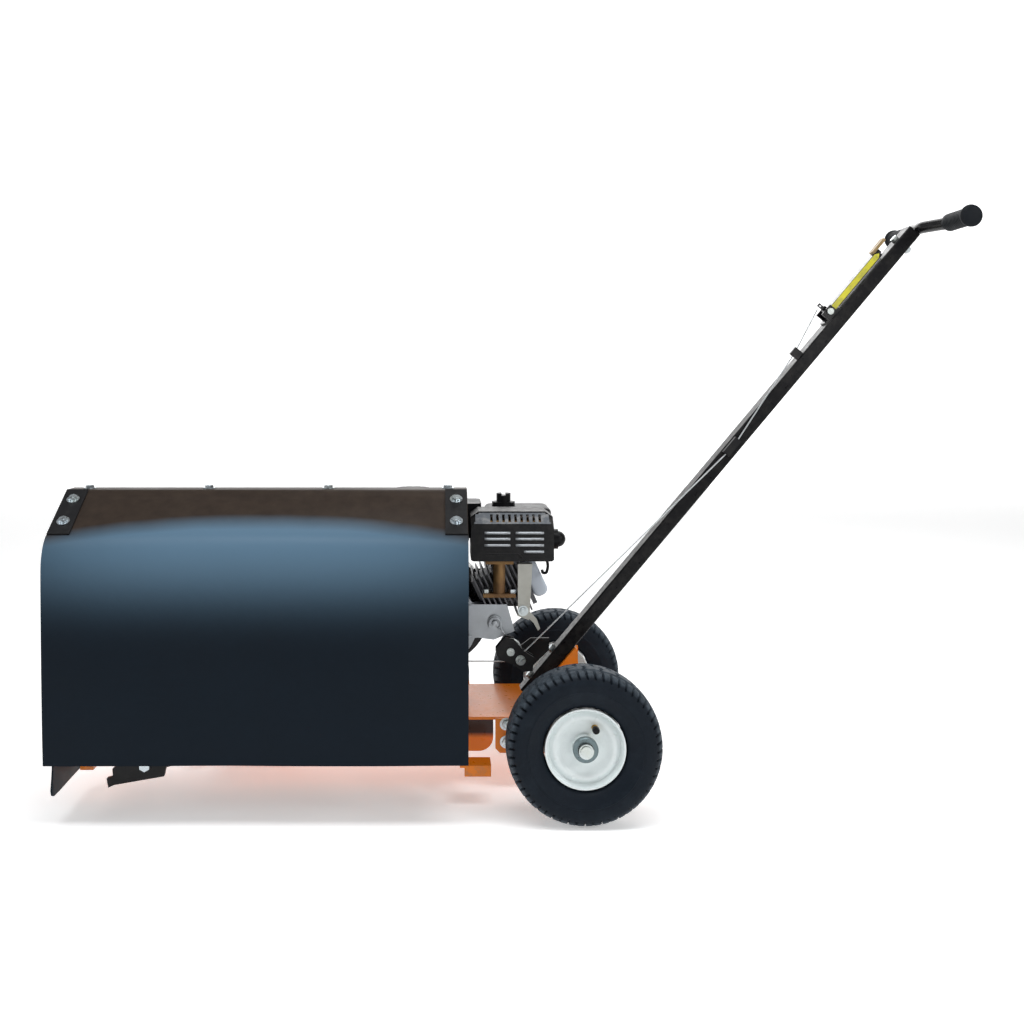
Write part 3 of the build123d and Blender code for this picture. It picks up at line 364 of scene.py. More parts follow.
SHEET = sheet_mat()
BY_NODE = {
    "deck_frame": ORANGE, "front_subframe": ORANGE, "gauge_skid": ORANGE, "handle_mast": ORANGE2,
    "handle_post": POSTM, "handlebar": BLACK, "lever_bracket": BLACK, "sheave_bracket": BLACKS, "wire_guides": BLACKS,
    "belt_guard": BLACKS, "muffler_guard": GUARDM, "shield_frame": BLACKS, "clamp_strips": BLACKS, "end_plates": BLACKS,
    "clutch_lever": BLACK, "rotor_disc": BLACKS, "rotor_blades": BLACKS, "fan_shroud": BLACK, "idler_arm": BLACKS,
    "debris_shield": SHEET, "front_flap": SHEET, "frame_bolts": ZINC, "pivot_pins": ZINC, "clutch_wire": WIRE,
    "rotor_fasteners": ZINC, "engine_fasteners": ZINC, "shield_bolts": ZINC, "muffler_bracket": GALV, "cable_sheave": ZINC,
    "axle": ZINC, "rotor_shaft": STEEL, "crankshaft": STEEL, "engine_pulley": STEEL, "rotor_pulley": STEEL,
    "idler_pulley": STEEL, "drive_belt": BELT, "crankcase": ALU, "carburettor": ALU, "rotor_bearings": IRON, "cylinder": FINS,
    "flywheel": IRON, "valve_cover": WHITEA, "muffler": HOT, "air_cleaner": PLASTIC, "air_cleaner_knob": PLASTIC,
    "choke_lever": PLASTIC, "throttle_lever": PLASTIC, "fuel_valve_lever": PLASTIC, "fuel_tank": PLASTIC, "fuel_cap": PLASTIC,
    "starter_handle": PLASTIC, "engine_switch": PLASTIC, "left_tyre": TYRE, "right_tyre": TYRE, "left_rim": RIM,
    "right_rim": RIM, "left_valve": BRASS, "right_valve": BRASS, "grips": GRIP, "lever_tip": TAN}
def deck_mat():
    m = ORANGE.copy()
    m.name = "orange_paint_deck"
    t = m.node_tree
    b = t.nodes["Principled BSDF"]
    src = b.inputs["Base Color"].links[0].from_socket
    tc = t.nodes.new("ShaderNodeTexCoord")
    sp = t.nodes.new("ShaderNodeSeparateXYZ")
    t.links.new(tc.outputs["Object"], sp.inputs[0])
    # painted shade: the belly plate under the deck is darkened to dark brown from Z 80 to 122 mm, inboard of Y -50 mm,
    # where the deck's shadow falls
    a = t.nodes.new("ShaderNodeMapRange")
    for i, v in ((1, 0.080), (2, 0.090)):
        a.inputs[i].default_value = v
    t.links.new(sp.outputs["Z"], a.inputs[0])
    c = t.nodes.new("ShaderNodeMapRange")
    for i, v in ((1, 0.120), (2, 0.1225), (3, 1.0), (4, 0.0)):
        c.inputs[i].default_value = v
    t.links.new(sp.outputs["Z"], c.inputs[0])
    y = t.nodes.new("ShaderNodeMapRange")
    for i, v in ((1, -0.060), (2, -0.050)):
        y.inputs[i].default_value = v
    t.links.new(sp.outputs["Y"], y.inputs[0])
    m1 = t.nodes.new("ShaderNodeMath")
    m1.operation = "MULTIPLY"
    t.links.new(a.outputs[0], m1.inputs[0])
    t.links.new(c.outputs[0], m1.inputs[1])
    painted_shade_mask = t.nodes.new("ShaderNodeMath")
    painted_shade_mask.operation = "MULTIPLY"
    t.links.new(m1.outputs[0], painted_shade_mask.inputs[0])
    t.links.new(y.outputs[0], painted_shade_mask.inputs[1])
    # mix in the painted shade colour
    mx = t.nodes.new("ShaderNodeMix")
    mx.data_type = "RGBA"
    t.links.new(painted_shade_mask.outputs[0], mx.inputs[0])
    t.links.new(src, mx.inputs[6])
    mx.inputs[7].default_value = (0.035, 0.016, 0.010, 1)
    t.links.new(mx.outputs[2], b.inputs["Base Color"])
    return m


BY_NODE["deck_frame"] = deck_mat()
for k, o in N.items():
    m = BY_NODE[k]
    if len(o.material_slots) == 0:
        o.data.materials.append(m)
    for s in o.material_slots:
        s.material = m


# ------------------------------------------------------------- mesh helpers
def obj(name, verts, faces, m, body, smooth=True, rep=()):
    me = bpy.data.meshes.new(name)
    me.from_pydata([tuple(v) for v in verts], [], faces)
    bm = bmesh.new()
    bm.from_mesh(me)
    bmesh.ops.recalc_face_normals(bm, faces=bm.faces)
    bm.to_mesh(me)
    bm.free()
    o = bpy.data.objects.new(name, me)
    scn.collection.objects.link(o)
    me.materials.append(m)
    if smooth:
        for p in me.polygons:
            p.use_smooth = True
        me.set_sharp_from_angle(angle=math.radians(38))
    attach(o, body)
    if rep:
        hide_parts(*rep)
    return o


def lathe(profile, angs, cx, cy, cz, disp=None):
    # profile of (radius mm, offset mm along Y); closed loop round the section
    V, F = [], []
    n, k = len(angs), len(profile)
    for i, (a, ph) in enumerate(angs):
        for j, (r, t) in enumerate(profile):
            if disp:
                r = disp(r, t, j, ph)
            V.append((cx + r * MM * math.cos(a), cy + t * MM, cz + r * MM * math.sin(a)))
    for i in range(n):
        for j in range(k):
            a0, a1 = i * k + j, i * k + (j + 1) % k
            b0, b1 = ((i + 1) % n) * k + j, ((i + 1) % n) * k + (j + 1) % k
            F.append((a0, a1, b1, b0))
    return V, F


def ring(n):
    return [(2 * math.pi * i / n, i / n) for i in range(n)]


def frame_of(d):
    d = d.normalized()
    u = d.cross(Vector((0, 1, 0)))
    if u.length < 0.1:
        u = d.cross(Vector((0, 0, 1)))
    u.normalize()
    return u, d.cross(u).normalized()


def tube(pts, r, seg=16, cap=True, radii=None):
    # round bar through points (mm)
    P = [Vector(p) * MM for p in pts]
    V, F = [], []
    u = None
    for i, p in enumerate(P):
        d = (P[min(i + 1, len(P) - 1)] - P[max(i - 1, 0)]).normalized()
        if u is None:
            u, v = frame_of(d)
        else:
            u = (u - d * u.dot(d)).normalized()
            v = d.cross(u)
        rr = (radii[i] if radii else r) * MM
        for k in range(seg):
            a = 2 * math.pi * k / seg
            V.append(p + (u * math.cos(a) + v * math.sin(a)) * rr)
    for i in range(len(P) - 1):
        for k in range(seg):
            F.append((i * seg + k, i * seg + (k + 1) % seg, (i + 1) * seg + (k + 1) % seg, (i + 1) * seg + k))
    if cap:
        F.append(tuple(range(seg))[::-1])
        F.append(tuple((len(P) - 1) * seg + k for k in range(seg)))
    return V, F


def smooth_path(pts, n=10, rad=20):
    out = [Vector(pts[0])]
    for i in range(1, len(pts) - 1):
        a, b, c = Vector(pts[i - 1]), Vector(pts[i]), Vector(pts[i + 1])
        r = min(rad, (a - b).length * 0.45, (c - b).length * 0.45)
        p, q = b + (a - b).normalized() * r, b + (c - b).normalized() * r
        for k in range(n + 1):
            t = k / n
            out.append(p * (1 - t) ** 2 + b * 2 * t * (1 - t) + q * t * t)
    out.append(Vector(pts[-1]))
    return out


def join(*vf):
    V, F = [], []
    for v, f in vf:
        o = len(V)
        V += [Vector(x) for x in v]
        F += [tuple(i + o for i in q) for q in f]
    return V, F


def rbox(x0, x1, y0, y1, z0, z1, r=1.5, seg=2):
    # rounded block in mm, bevelled edges
    bm = bmesh.new()
    bmesh.ops.create_cube(bm, size=1.0)
    for v in bm.verts:
        v.co = Vector((x0 if v.co.x < 0 else x1, y0 if v.co.y < 0 else y1, z0 if v.co.z < 0 else z1)) * MM
    bmesh.ops.bevel(bm, geom=list(bm.edges), offset=r * MM, segments=seg, profile=0.5, affect="EDGES", clamp_overlap=True)
    V = [v.co.copy() for v in bm.verts]
    bm.verts.index_update()
    F = [tuple(v.index for v in f.verts) for f in bm.faces]
    bm.free()
    return V, F


def prism(pts, t0, t1, place, r=0.8, seg=2):
    # bevelled slab: outline pts (a, b) pushed from t0 to t1; place(a, b, t) gives mm xyz
    bm = bmesh.new()
    lo = [bm.verts.new(Vector(place(a, b, t0)) * MM) for a, b in pts]
    hi = [bm.verts.new(Vector(place(a, b, t1)) * MM) for a, b in pts]
    bm.faces.new(lo[::-1])
    bm.faces.new(hi)
    n = len(pts)
    for i in range(n):
        bm.faces.new((lo[i], lo[(i + 1) % n], hi[(i + 1) % n], hi[i]))
    if r:
        es = [e for e in bm.edges if e.calc_face_angle(0) > 0.35]
        bmesh.ops.bevel(bm, geom=es, offset=r * MM, segments=seg, profile=0.5, affect="EDGES", clamp_overlap=True)
    bm.verts.index_update()
    V = [v.co.copy() for v in bm.verts]
    F = [tuple(v.index for v in f.verts) for f in bm.faces]
    bm.free()
    return V, F


def XZ(a, b, t):
    return (a, t, b)


def YZ(a, b, t):
    return (t, a, b)


def post(s, d=0.0, y=0.0):
    return (507.8 + s * 0.64279 - d * 0.76604, y, 739.2 + s * 0.76604 + d * 0.64279)


def hexhead(p, d, af, h, washer=True, dome=True):
    # bolt or nut head: chamfered hexagon on a flat washer, p on the seat (mm), d outward
    P, D = Vector(p), Vector(d).normalized()
    u, v = frame_of(D)
    rings = []
    if washer:
        rings += [(24, af * 0.82, 0.0), (24, af * 0.82, 1.1), (24, af * 0.62, 1.15)]
    V, F = [], []

    def loop(r, z, hexed, k=24):
        base = len(V)
        for i in range(k):
            a = 2 * math.pi * i / k
            rr = r
            if hexed:
                m = (a % (math.pi / 3)) - math.pi / 6
                rr = r / math.cos(m) if hexed == 1 else min(r / math.cos(m), r * 1.06)
            V.append((P + D * z + (u * math.cos(a) + v * math.sin(a)) * rr) * MM)
        return base

    seq = []
    if washer:
        seq += [loop(af * 0.86, 0.0, 0), loop(af * 0.86, 1.2, 0), loop(af * 0.56, 1.3, 0)]
    w0 = 1.3 if washer else 0.0
    seq += [loop(af / 2, w0, 1), loop(af / 2, h * 0.86, 1), loop(af / 2 * 0.93, h, 2)]
    if dome:
        seq += [loop(af * 0.30, h, 0), loop(af * 0.27, h + 0.6, 0), loop(af * 0.04, h + 0.8, 0)]
    for a, b in zip(seq, seq[1:]):
        for i in range(24):
            F.append((a + i, a + (i + 1) % 24, b + (i + 1) % 24, b + i))
    F.append(tuple(seq[-1] + i for i in range(24)))
    F.append(tuple(seq[0] + i for i in range(24))[::-1])
    return V, F


# ------------------------------------------------------------- tyres
def tyre(name, node, body, yc):
    prof = [(67.8, -25), (70, -30), (76, -35.5), (84, -40.2), (92, -42.6), (93.4, -43.8), (95.2, -43.9), (96.4, -42.9), (104, -43.3), (110, -42.6), (114.5, -41.4),
            (116.5, -40.2), (119, -38.4), (122.5, -35.4), (125.2, -31.5), (127.2, -26.0), (128.4, -18), (128.9, -12), (129.1, -6), (129.2, 0)]
    prof = prof + [(r, -t) for r, t in prof[-2::-1]]
    inner = [(68, 22), (80, 30), (94, 37), (108, 35.5), (118, 26), (121, 0), (118, -26), (108, -35.5), (94, -37), (80, -30), (68, -22)]
    full = prof + inner
    npf = len(prof)
    M = 14 * 56

    def disp(r, t, j, ph):
        if j >= npf:
            return r
        a = abs(t)
        out = r
        if r > 116 and a > 24:
            # shoulder lugs: 56 per side, offset half a pitch between the sides
            q = (ph * 56 + (0.5 if t > 0 else 0.0) + 0.012 * (a - 24)) % 1.0
            w = 0.5 - abs(q - 0.5)
            k = min(1, max(0, (w - 0.10) / 0.05))
            out = r - (1 - k) * 6.0 * min(1, (r - 116) / 4)
        elif a <= 24 and r > 120:
            # centre blocks: staggered, with a groove each side of the middle rib
            q = (ph * 28 + 0.06 * math.sin(t * 0.6) + (0.5 if t > 0 else 0)) % 1.0
            w = 0.5 - abs(q - 0.5)
            k = min(1, max(0, (w - 0.06) / 0.03))
            g = min(1, max(0, (abs(a - 20) - 1.6) / 1.0))
            out = r - (1 - k) * 3.4 - (1 - g) * 3.0
        return max(out, 60)

    # extra points across the crown so the grooves have walls
    dense = []
    for (r0, t0), (r1, t1) in zip(full, full[1:] + full[:1]):
        dense.append((r0, t0))
        if r0 > 114 and r1 > 114 and abs(t1 - t0) > 2.4 and len(dense) < 400 and not (full.index((r0, t0)) >= npf - 1):
            k = int(abs(t1 - t0) // 1.6)
            for i in range(1, k):
                dense.append((r0 + (r1 - r0) * i / k, t0 + (t1 - t0) * i / k))
    nin = len(inner)
    npf = len(dense) - nin
    V, F = lathe(dense, ring(M), 0.095, yc * MM, 0.13, disp)
    return obj(name, V, F, TYRE, body, rep=(node,))


tyre("tyre_left", "left_tyre", "left_wheel", -240)
tyre("tyre_right", "right_tyre", "right_wheel", 240)


# ------------------------------------------------------------- rims
def rim(name, node, body, sgn):
    yc = sgn * 240
    # outer face, from the hub out to the bead flange, offsets outward from the crown
    face = [(13.2, 37.0), (19.0, 37.0), (20.3, 36.2), (20.5, 35), (20.5, 15.5), (22.5, 14.2), (30, 15.0), (38, 16.6), (43, 19.2), (46, 22.2), (50, 23.4), (54, 22.6),
            (57, 19.6), (59.5, 18.6), (61.2, 20.4), (62.2, 26), (63.0, 31.0), (64.4, 33.0), (66.2, 33.0), (66.8, 31.8), (66.4, 30), (65.3, 25), (61.5, 18.5)]
    back = [(59.0, 8), (59.0, -8), (61.5, -18.5), (65.3, -25), (66.4, -30), (66.8, -31.8), (66.2, -33), (64.4, -33), (63, -31), (61.8, -26), (56, -14), (50, 4), (44, 9), (22, 9),
            (20.5, 4), (20.5, -34.5), (19, -36), (13.2, -36)]
    prof = [(r, sgn * t) for r, t in face + back]
    V, F = lathe(prof, ring(128), 0.095, yc * MM, 0.13)
    o = obj(name, V, F, RIM, body, rep=(node,))
    # teal-grey hub tube end and grease ring
    h = [(13.4, 37.2), (19.4, 37.2), (20.7, 36.0), (20.9, 34), (20.9, 28), (20.2, 27.6), (13.4, 27.6)]
    V, F = lathe([(r, sgn * t) for r, t in h], ring(64), 0.095, yc * MM, 0.13)
    obj(name + "_hub", V, F, HUBM, body)
    # eight rivet-like spot welds round the dish
    parts = []
    for i in range(8):
        a = math.radians(22.5 + 45 * i)
        p = (95 + 52 * math.cos(a), yc + sgn * 22.6, 130 + 52 * math.sin(a))
        parts.append(tube([p, (p[0], p[1] + sgn * 0.9, p[2]), (p[0], p[1] + sgn * 1.2, p[2])], 2, 12, radii=[3.0, 2.6, 1.2]))
    V, F = join(*parts)
    obj(name + "_welds", V, F, RIM, body)


HUBM = metal("teal_grey_hub", (0.16, 0.21, 0.22), 0.32, 0.2, scale=200, metallic=0.7)
rim("rim_left", "left_rim", "left_wheel", -1)
rim("rim_right", "right_rim", "right_wheel", 1)

# ------------------------------------------------------------- hanging shield
def shield():
    # section of the sheet in YZ (mm, outer face), from the bolted flange to the free hem
    sec = [(-110, 544.1), (-130, 544.1), (-147, 544.1), (-152, 543.4), (-157, 540.4), (-190, 520.5), (-226, 498.7), (-252, 483), (-262, 477), (-269.4, 470.6), (-276, 462), (-281.6, 450),
           (-285, 438), (-286.2, 425), (-286.4, 410), (-286.2, 395), (-285.6, 370), (-284.6, 330), (-283.4, 290), (-282.2, 250), (-280.2, 200), (-277.8, 150), (-276.0, 122), (-275.2, 108), (-275.0, 104.0)]
    # refine
    P = [Vector((a, b)) for a, b in sec]
    fine = [P[0]]
    for i in range(len(P) - 1):
        p0, p1, p2, p3 = P[max(i - 1, 0)], P[i], P[i + 1], P[min(i + 2, len(P) - 1)]
        k = max(1, int((p2 - p1).length // 4))
        for j in range(1, k + 1):
            t = j / k
            fine.append(0.5 * (2 * p1 + (p2 - p0) * t + (2 * p0 - 5 * p1 + 4 * p2 - p3) * t * t + (3 * p1 - p0 - 3 * p2 + p3) * t ** 3))
    n = len(fine)
    nx = 230
    x0, x1 = -791.0, -96.2
    out, inn = [], []
    L = [0.0]
    for a, b in zip(fine, fine[1:]):
        L.append(L[-1] + (b - a).length)
    tot = L[-1]
    for i in range(nx + 1):
        u = i / nx
        x = x0 + (x1 - x0) * u
        # free of the strips the sheet sags off the slope and turns over sooner
        free = min(1, max(0, (x + 748) / 60)) * min(1, max(0, (-139 - x) / 60))
        free = free * free * (3 - 2 * free)
        mid = math.sin(math.pi * u)
        ro, ri = [], []
        for j, p in enumerate(fine):
            s = L[j] / tot
            t = (fine[min(j + 1, n - 1)] - fine[max(j - 1, 0)]).normalized()
            nrm = Vector((-t.y, t.x))
            if nrm.x > 0 or (abs(nrm.x) < 0.2 and nrm.y < 0):
                nrm = -nrm if not (nrm.y > 0.3) else nrm
            z = p.y
            b = 0.0
            # the bulge above and at the bend
            b += 7.0 * free * mid * math.exp(-((z - 470) / 26) ** 2) * (1 if s > 0.1 else 0)
            b -= 1.4 * free * math.exp(-((z - 515) / 22) ** 2) * (1 if s > 0.12 else 0)
            # slow waves of the hanging part
            k = max(0, min(1, (430 - z) / 180))
            w = 1.5 * k * math.sin(2 * math.pi * (u * 1.6 + 0.12)) + 1.0 * k * noise.noise(Vector((u * 5, s * 3, 3.1)))
            b += w - 0.6 * k
            q = p + nrm * b
            q.x = max(q.x, -287.9)
            ro.append((x, q.x, q.y))
            q2 = q - nrm * 3.0
            ri.append((x, q2.x, q2.y))
        out.append(ro)
        inn.append(ri)
    V, F = [], []
    for i in range(nx + 1):
        V += [Vector(p) * MM for p in out[i]] + [Vector(p) * MM for p in inn[i][::-1]]
    m = 2 * n
    for i in range(nx):
        for j in range(m):
            a, b = i * m + j, i * m + (j + 1) % m
            F.append((a, b, b + m, a + m))
    F.append(tuple(range(m))[::-1])
    F.append(tuple(nx * m + j for j in range(m)))
    return V, F, tot


V, F, tot = shield()
sh = obj("shield_sheet", V, F, SHEET, "frame", rep=("debris_shield",))


def flap():
    pts = [(-777.8, 200), (-777.8, 175), (-777.9, 150), (-778.4, 125), (-779.2, 98), (-780.4, 70), (-781.6, 47)]
    V, F = [], []
    ny = 60
    nz = 50
    rows = []
    for i in range(ny + 1):
        y = -262 + 172 * i / ny
        ro, ri = [], []
        for j in range(nz + 1):
            t = j / nz * (len(pts) - 1)
            k = min(int(t), len(pts) - 2)
            f = t - k
            x = pts[k][0] * (1 - f) + pts[k + 1][0] * f
            z = pts[k][1] * (1 - f) + pts[k + 1][1] * f
            hang = max(0, (170 - z) / 123)
            x += 0.5 * hang * math.sin(i / ny * 7)
            # corner rounding at the bottom near edge
            zz = z
            if y < -250:
                zz = z + (1 - math.sqrt(max(0, 1 - ((-250 - y) / 12) ** 2))) * 12 * max(0, 1 - (z - 47) / 40)
            ro.append((x - 1.5, y, zz))
            ri.append((x + 1.5, y, zz))
        rows.append(ro + ri[::-1])
    m = 2 * (nz + 1)
    for r in rows:
        V += [Vector(p) * MM for p in r]
    for i in range(ny):
        for j in range(m):
            a, b = i * m + j, i * m + (j + 1) % m
            F.append((a, b, b + m, a + m))
    F.append(tuple(range(m))[::-1])
    F.append(tuple(ny * m + j for j in range(m)))
    return V, F


V, F = flap()
fo = obj("front_flap_sheet", V, F, SHEET, "frame", rep=("front_flap",))


# ------------------------------------------------------------- shield bolts
sx, sz = (-262 + 151) / 129.7, (477 - 544.1) / 129.7
nx_, nz_ = sz, -sx
if nz_ < 0:
    nx_, nz_ = -nx_, -nz_


def slope(t, o):
    return (-151 + sx * t + nx_ * o, 544.1 + sz * t + nz_ * o)


heads = []
for k in range(4):
    x = -758.076 + 209.5 * k
    heads.append(hexhead((x, -130, 544.3), (0, 0, 1), 12.6, 5.6))
for x in (-791.076 + 1 + 18.5, -96 - 1 - 18.5):
    for f in (0.25, 0.72):
        y, z = slope(129 * f, 3.2)
        heads.append(hexhead((x, y, z), (0, nx_, nz_), 12.6, 5.6))
V, F = join(*heads)
obj("shield_bolt_heads", V, F, ZINC, "frame")

# ------------------------------------------------------------- muffler guard
SILVER = metal("louvre_edge_wear", (0.36, 0.38, 0.40), 0.42, 0.3, scale=300, bump=0.15, metallic=0.75)


VENT = paint("worn_vent_band", (0.15, 0.165, 0.185), 0.36, (0.3, 0.3, 0.3), 0.1, var=0.25)


def guard():
    # pressed steel box over the muffler, near face at Y -100
    x0, x1, y0, y1, z0, z1 = -88, 60, -100, 0, 411, 498
    parts = []
    # near face plate with chamfered corners
    face = [(x0 + 5, z0), (x1 - 3, z0), (x1, z0 + 4), (x1, 470), (x1 - 4, 478), (x0 + 4, 478), (x0, 470), (x0, z0 + 6)]
    parts.append(prism(face, y0, y0 + 2.2, XZ, 1.0, 3))
    # sloped slotted band: left, right and the bars between nine slots
    sl = Vector((0, -78 + 100, 498 - 478)).normalized()

    def band(xa, xb, f0, f1, o=0.0):
        y_a, z_a = -100 + 22 * f0, 478 + 18 * f0
        y_b, z_b = -100 + 22 * f1, 478 + 18 * f1
        return prism([(y_a, z_a), (y_b, z_b), (y_b + 1.2, z_b - 1.8), (y_a + 1.2, z_a - 1.8)], xa, xb, YZ, 0.35, 1)

    bars = [band(x0 + 6, x1 - 6, 0.0, 0.16), band(x0 + 14, x1 - 14, 0.84, 1.0)]
    xs = [-53.5 + 10.8 * i for i in range(9)]
    edges = [x0 + 8] + [v for x in xs for v in (x, x + 4.6)] + [x1 - 8]
    for a, b in zip(edges[::2], edges[1::2]):
        bars.append(band(a, b, 0.16, 0.84))
    V, F = join(*bars)
    obj("guard_vent_band", V, F, VENT, "frame")
    # corner gussets of the slope
    for xa, xb, xt in ((x0, x0 + 8, x0 + 16), (x1, x1 - 8, x1 - 16)):
        V = [Vector(p) * MM for p in ((xa, -100, 470), (xb, -100, 478), (xt, -78, 496), (xa, -74, 488), (xa, -98, 470), (xb, -98, 476), (xt, -77, 494), (xa + (2 if xa < xb else -2), -74, 486))]
        parts.append((V, [(0, 1, 2, 3), (4, 7, 6, 5), (0, 4, 5, 1), (1, 5, 6, 2), (2, 6, 7, 3), (3, 7, 4, 0)]))
    # roof and sides
    parts.append(prism([(x0 + 14, 495.8), (x1 - 14, 495.8), (x1 - 14, 498), (x0 + 14, 498)], -79, y1, XZ, 0.6, 2))
    for xa, xb in ((x0, x0 + 2.2), (x1 - 2.2, x1)):
        parts.append(prism([(-100, z0 + 2), (y1, z0 + 2), (y1, 488), (-74, 488), (-98, 470)], xa, xb, YZ, 0.7, 2))
    for s in (-1, 1):
        xa, xb = (x0, x0 + 14) if s < 0 else (x1 - 14, x1)
        V = [Vector(p) * MM for p in ((xa if s < 0 else xb, -76, 488), (xb if s < 0 else xa, -78, 497.8), (xb if s < 0 else xa, y1, 497.8), (xa if s < 0 else xb, y1, 488),
                                      (xa if s < 0 else xb, -76, 486), (xb if s < 0 else xa, -78, 495.8), (xb if s < 0 else xa, y1, 495.8), (xa if s < 0 else xb, y1, 486))]
        parts.append((V, [(0, 1, 2, 3), (4, 7, 6, 5), (0, 4, 5, 1), (1, 5, 6, 2), (2, 6, 7, 3), (3, 7, 4, 0)]))
    parts.append(rbox(x0 + 2, x1 - 2, -98, y1, z0, z0 + 2, 0.8))
    V, F = join(*parts)
    obj("guard_shell", V, F, GUARDM, "frame", rep=("muffler_guard",))
    # louvres: pressed hoods, bright where the paint has gone
    lo, louvre_shade_strips = [], []

    def louvre(xa, xb, z, h=4.6):
        n = 14
        V = []
        F = []
        for i in range(n + 1):
            x = xa + (xb - xa) * i / n
            e = min(1, i / 1.5, (n - i) / 1.5)
            for y, zz in ((-100.2, z + h / 2), (-100.2 - 1.9 * e, z + h * 0.1), (-100.2 - 2.3 * e, z - h * 0.3), (-100.0, z - h / 2)):
                V.append(Vector((x, y, zz)) * MM)
        for i in range(n):
            for j in range(3):
                a = i * 4 + j
                F.append((a, a + 4, a + 5, a + 1))
            a = i * 4
            F.append((a + 3, a + 7, a + 4, a))
        F.append((0, 1, 2, 3))
        F.append(tuple(n * 4 + j for j in (3, 2, 1, 0)))
        lo.append((V, F))
        # a black strip under each hood is painted shade, standing in for the shaded slot opening
        louvre_shade_strips.append(rbox(xa - 1, xb + 1, -100.5, -99.6, z - h / 2 - 2.0, z - h / 2 + 0.4, 0.3, 1))

    for z in (461.5, 450.8, 439.5):
        louvre(-64, -18, z)
        louvre(-8.5, 42, z)
    louvre(6.5, 42, 428.0)
    V, F = join(*lo)
    obj("guard_louvres", V, F, SILVER, "frame")
    # the black strips of painted shade under the louvres
    V, F = join(*louvre_shade_strips)
    obj("guard_louvre_shade_strips", V, F, BLACKS, "frame")
    # stepped rib along the lower edge
    rib = tube(smooth_path([(-64, -100.6, 424.5), (-3, -100.6, 424.5), (7, -100.6, 413.6), (43, -100.6, 413.6)], 6, 4), 1.25, 10)
    V, F = join(rib)
    obj("guard_rib", V, F, BLACKS, "frame")


guard()



# ------------------------------------------------------------- valve cover: pressed, crowned
def valve_cover():
    src = N["valve_cover"]
    bm = bmesh.new()
    bm.from_mesh(src.data)
    bmesh.ops.remove_doubles(bm, verts=bm.verts, dist=0.00005)
    bmesh.ops.dissolve_limit(bm, angle_limit=math.radians(4), verts=bm.verts, edges=bm.edges)
    es = [e for e in bm.edges if len(e.link_faces) == 2 and e.calc_face_angle(0) > 0.5]
    bmesh.ops.bevel(bm, geom=es, offset=0.0055, segments=5, profile=0.5, affect="EDGES", clamp_overlap=True)
    bm.verts.index_update()
    V = [v.co.copy() for v in bm.verts]
    F = [tuple(v.index for v in f.verts) for f in bm.faces]
    bm.free()
    return V, F


V, F = valve_cover()
obj("valve_cover_shell", V, F, WHITEA, "frame", rep=("valve_cover",))


# ------------------------------------------------------------- valves: stem, collar, cap
for sgn, node, body in ((-1, "left_valve", "left_wheel"), (1, "right_valve", "right_wheel")):
    y = 240 * sgn
    c = (111.9, 161.8)

    def vring(r0, r1, ya, yb, k=24):
        return tube([(c[0], y + sgn * ya, c[1]), (c[0], y + sgn * yb, c[1])], r0, k, radii=[r0, r1])

    V, F = join(vring(3.9, 3.9, 8.2, 27), vring(5.4, 5.0, 15.2, 18.5))
    obj(node + "_stem", V, F, BRASS, body, rep=(node,))
    cap = [(4.2, 26.5), (5.6, 27.2), (5.9, 28.2), (5.9, 35.6), (5.2, 37.2), (3.0, 37.9)]
    V, F = tube([(c[0], y + sgn * t, c[1]) for r, t in cap], 5, 40, radii=[r for r, t in cap])
    obj(node + "_cap", V, F, PLASTIC, body)


# ------------------------------------------------------------- grips
def grips():
    parts = []
    for s in (-1, 1):
        a, b = Vector((771.5, 176.5 * s, 1017.5)), Vector((769.6, 90 * s, 1016.6))
        prof = [(0.0, 6.0), (0.3, 13.0), (1.3, 16.6), (3.0, 18.6), (5.2, 19.4), (8.0, 19.1), (10.0, 17.9), (12.0, 16.4), (15.0, 15.9)]
        t = 18.0
        while t < 80:
            prof += [(t, 15.9), (t + 0.6, 15.0), (t + 1.8, 15.0), (t + 2.4, 15.9)]
            t += 5.2
        prof += [(82, 15.9), (85.2, 16.0), (86.1, 14.8), (86.5, 11.6)]
        d = (b - a).normalized()
        parts.append(tube([a + d * p for p, r in prof], 1, 48, radii=[r for p, r in prof]))
    V, F = join(*parts)
    return V, F


V, F = grips()
obj("grip_sleeves", V, F, GRIP, "frame", rep=("grips",))


# ------------------------------------------------------------- plain stripe on the lever's near side
def stripe():
    pts = [(150, 17.2), (143, 22.0), (150, 27.2), (276, 27.2), (283, 22.0), (276, 17.2)]
    q = [post(s, d) for s, d in pts]
    return prism([(p[0], p[2]) for p in q], -11.5, -11.05, XZ, 0)


V, F = stripe()
obj("lever_stripe", V, F, YELLOW, "clutch_lever")

# ------------------------------------------------------------- small engine and frame fittings
fit = [
    hexhead((5.3, -92.2, 321.8), (0, -1, 0), 11, 5.0),
    hexhead((1.1, -90.1, 232.6), (0, -1, 0), 10.5, 4.6),
    hexhead((-25.0, -88.1, 118.0), (0, -1, 0), 13, 6.0),
    hexhead((-25.0, -88.1, 86.0), (0, -1, 0), 13, 6.0),
]
V, F = join(*fit)
obj("small_bolts", V, F, ZINC, "frame")
# hooked spring clip under the guard's rear corner
V, F = tube(smooth_path([(50, -60, 411), (53, -60, 397), (50, -60, 384), (43, -60, 384), (42, -60, 390)], 6, 5), 2.6, 14)
obj("guard_clip", V, F, PLASTIC, "frame")
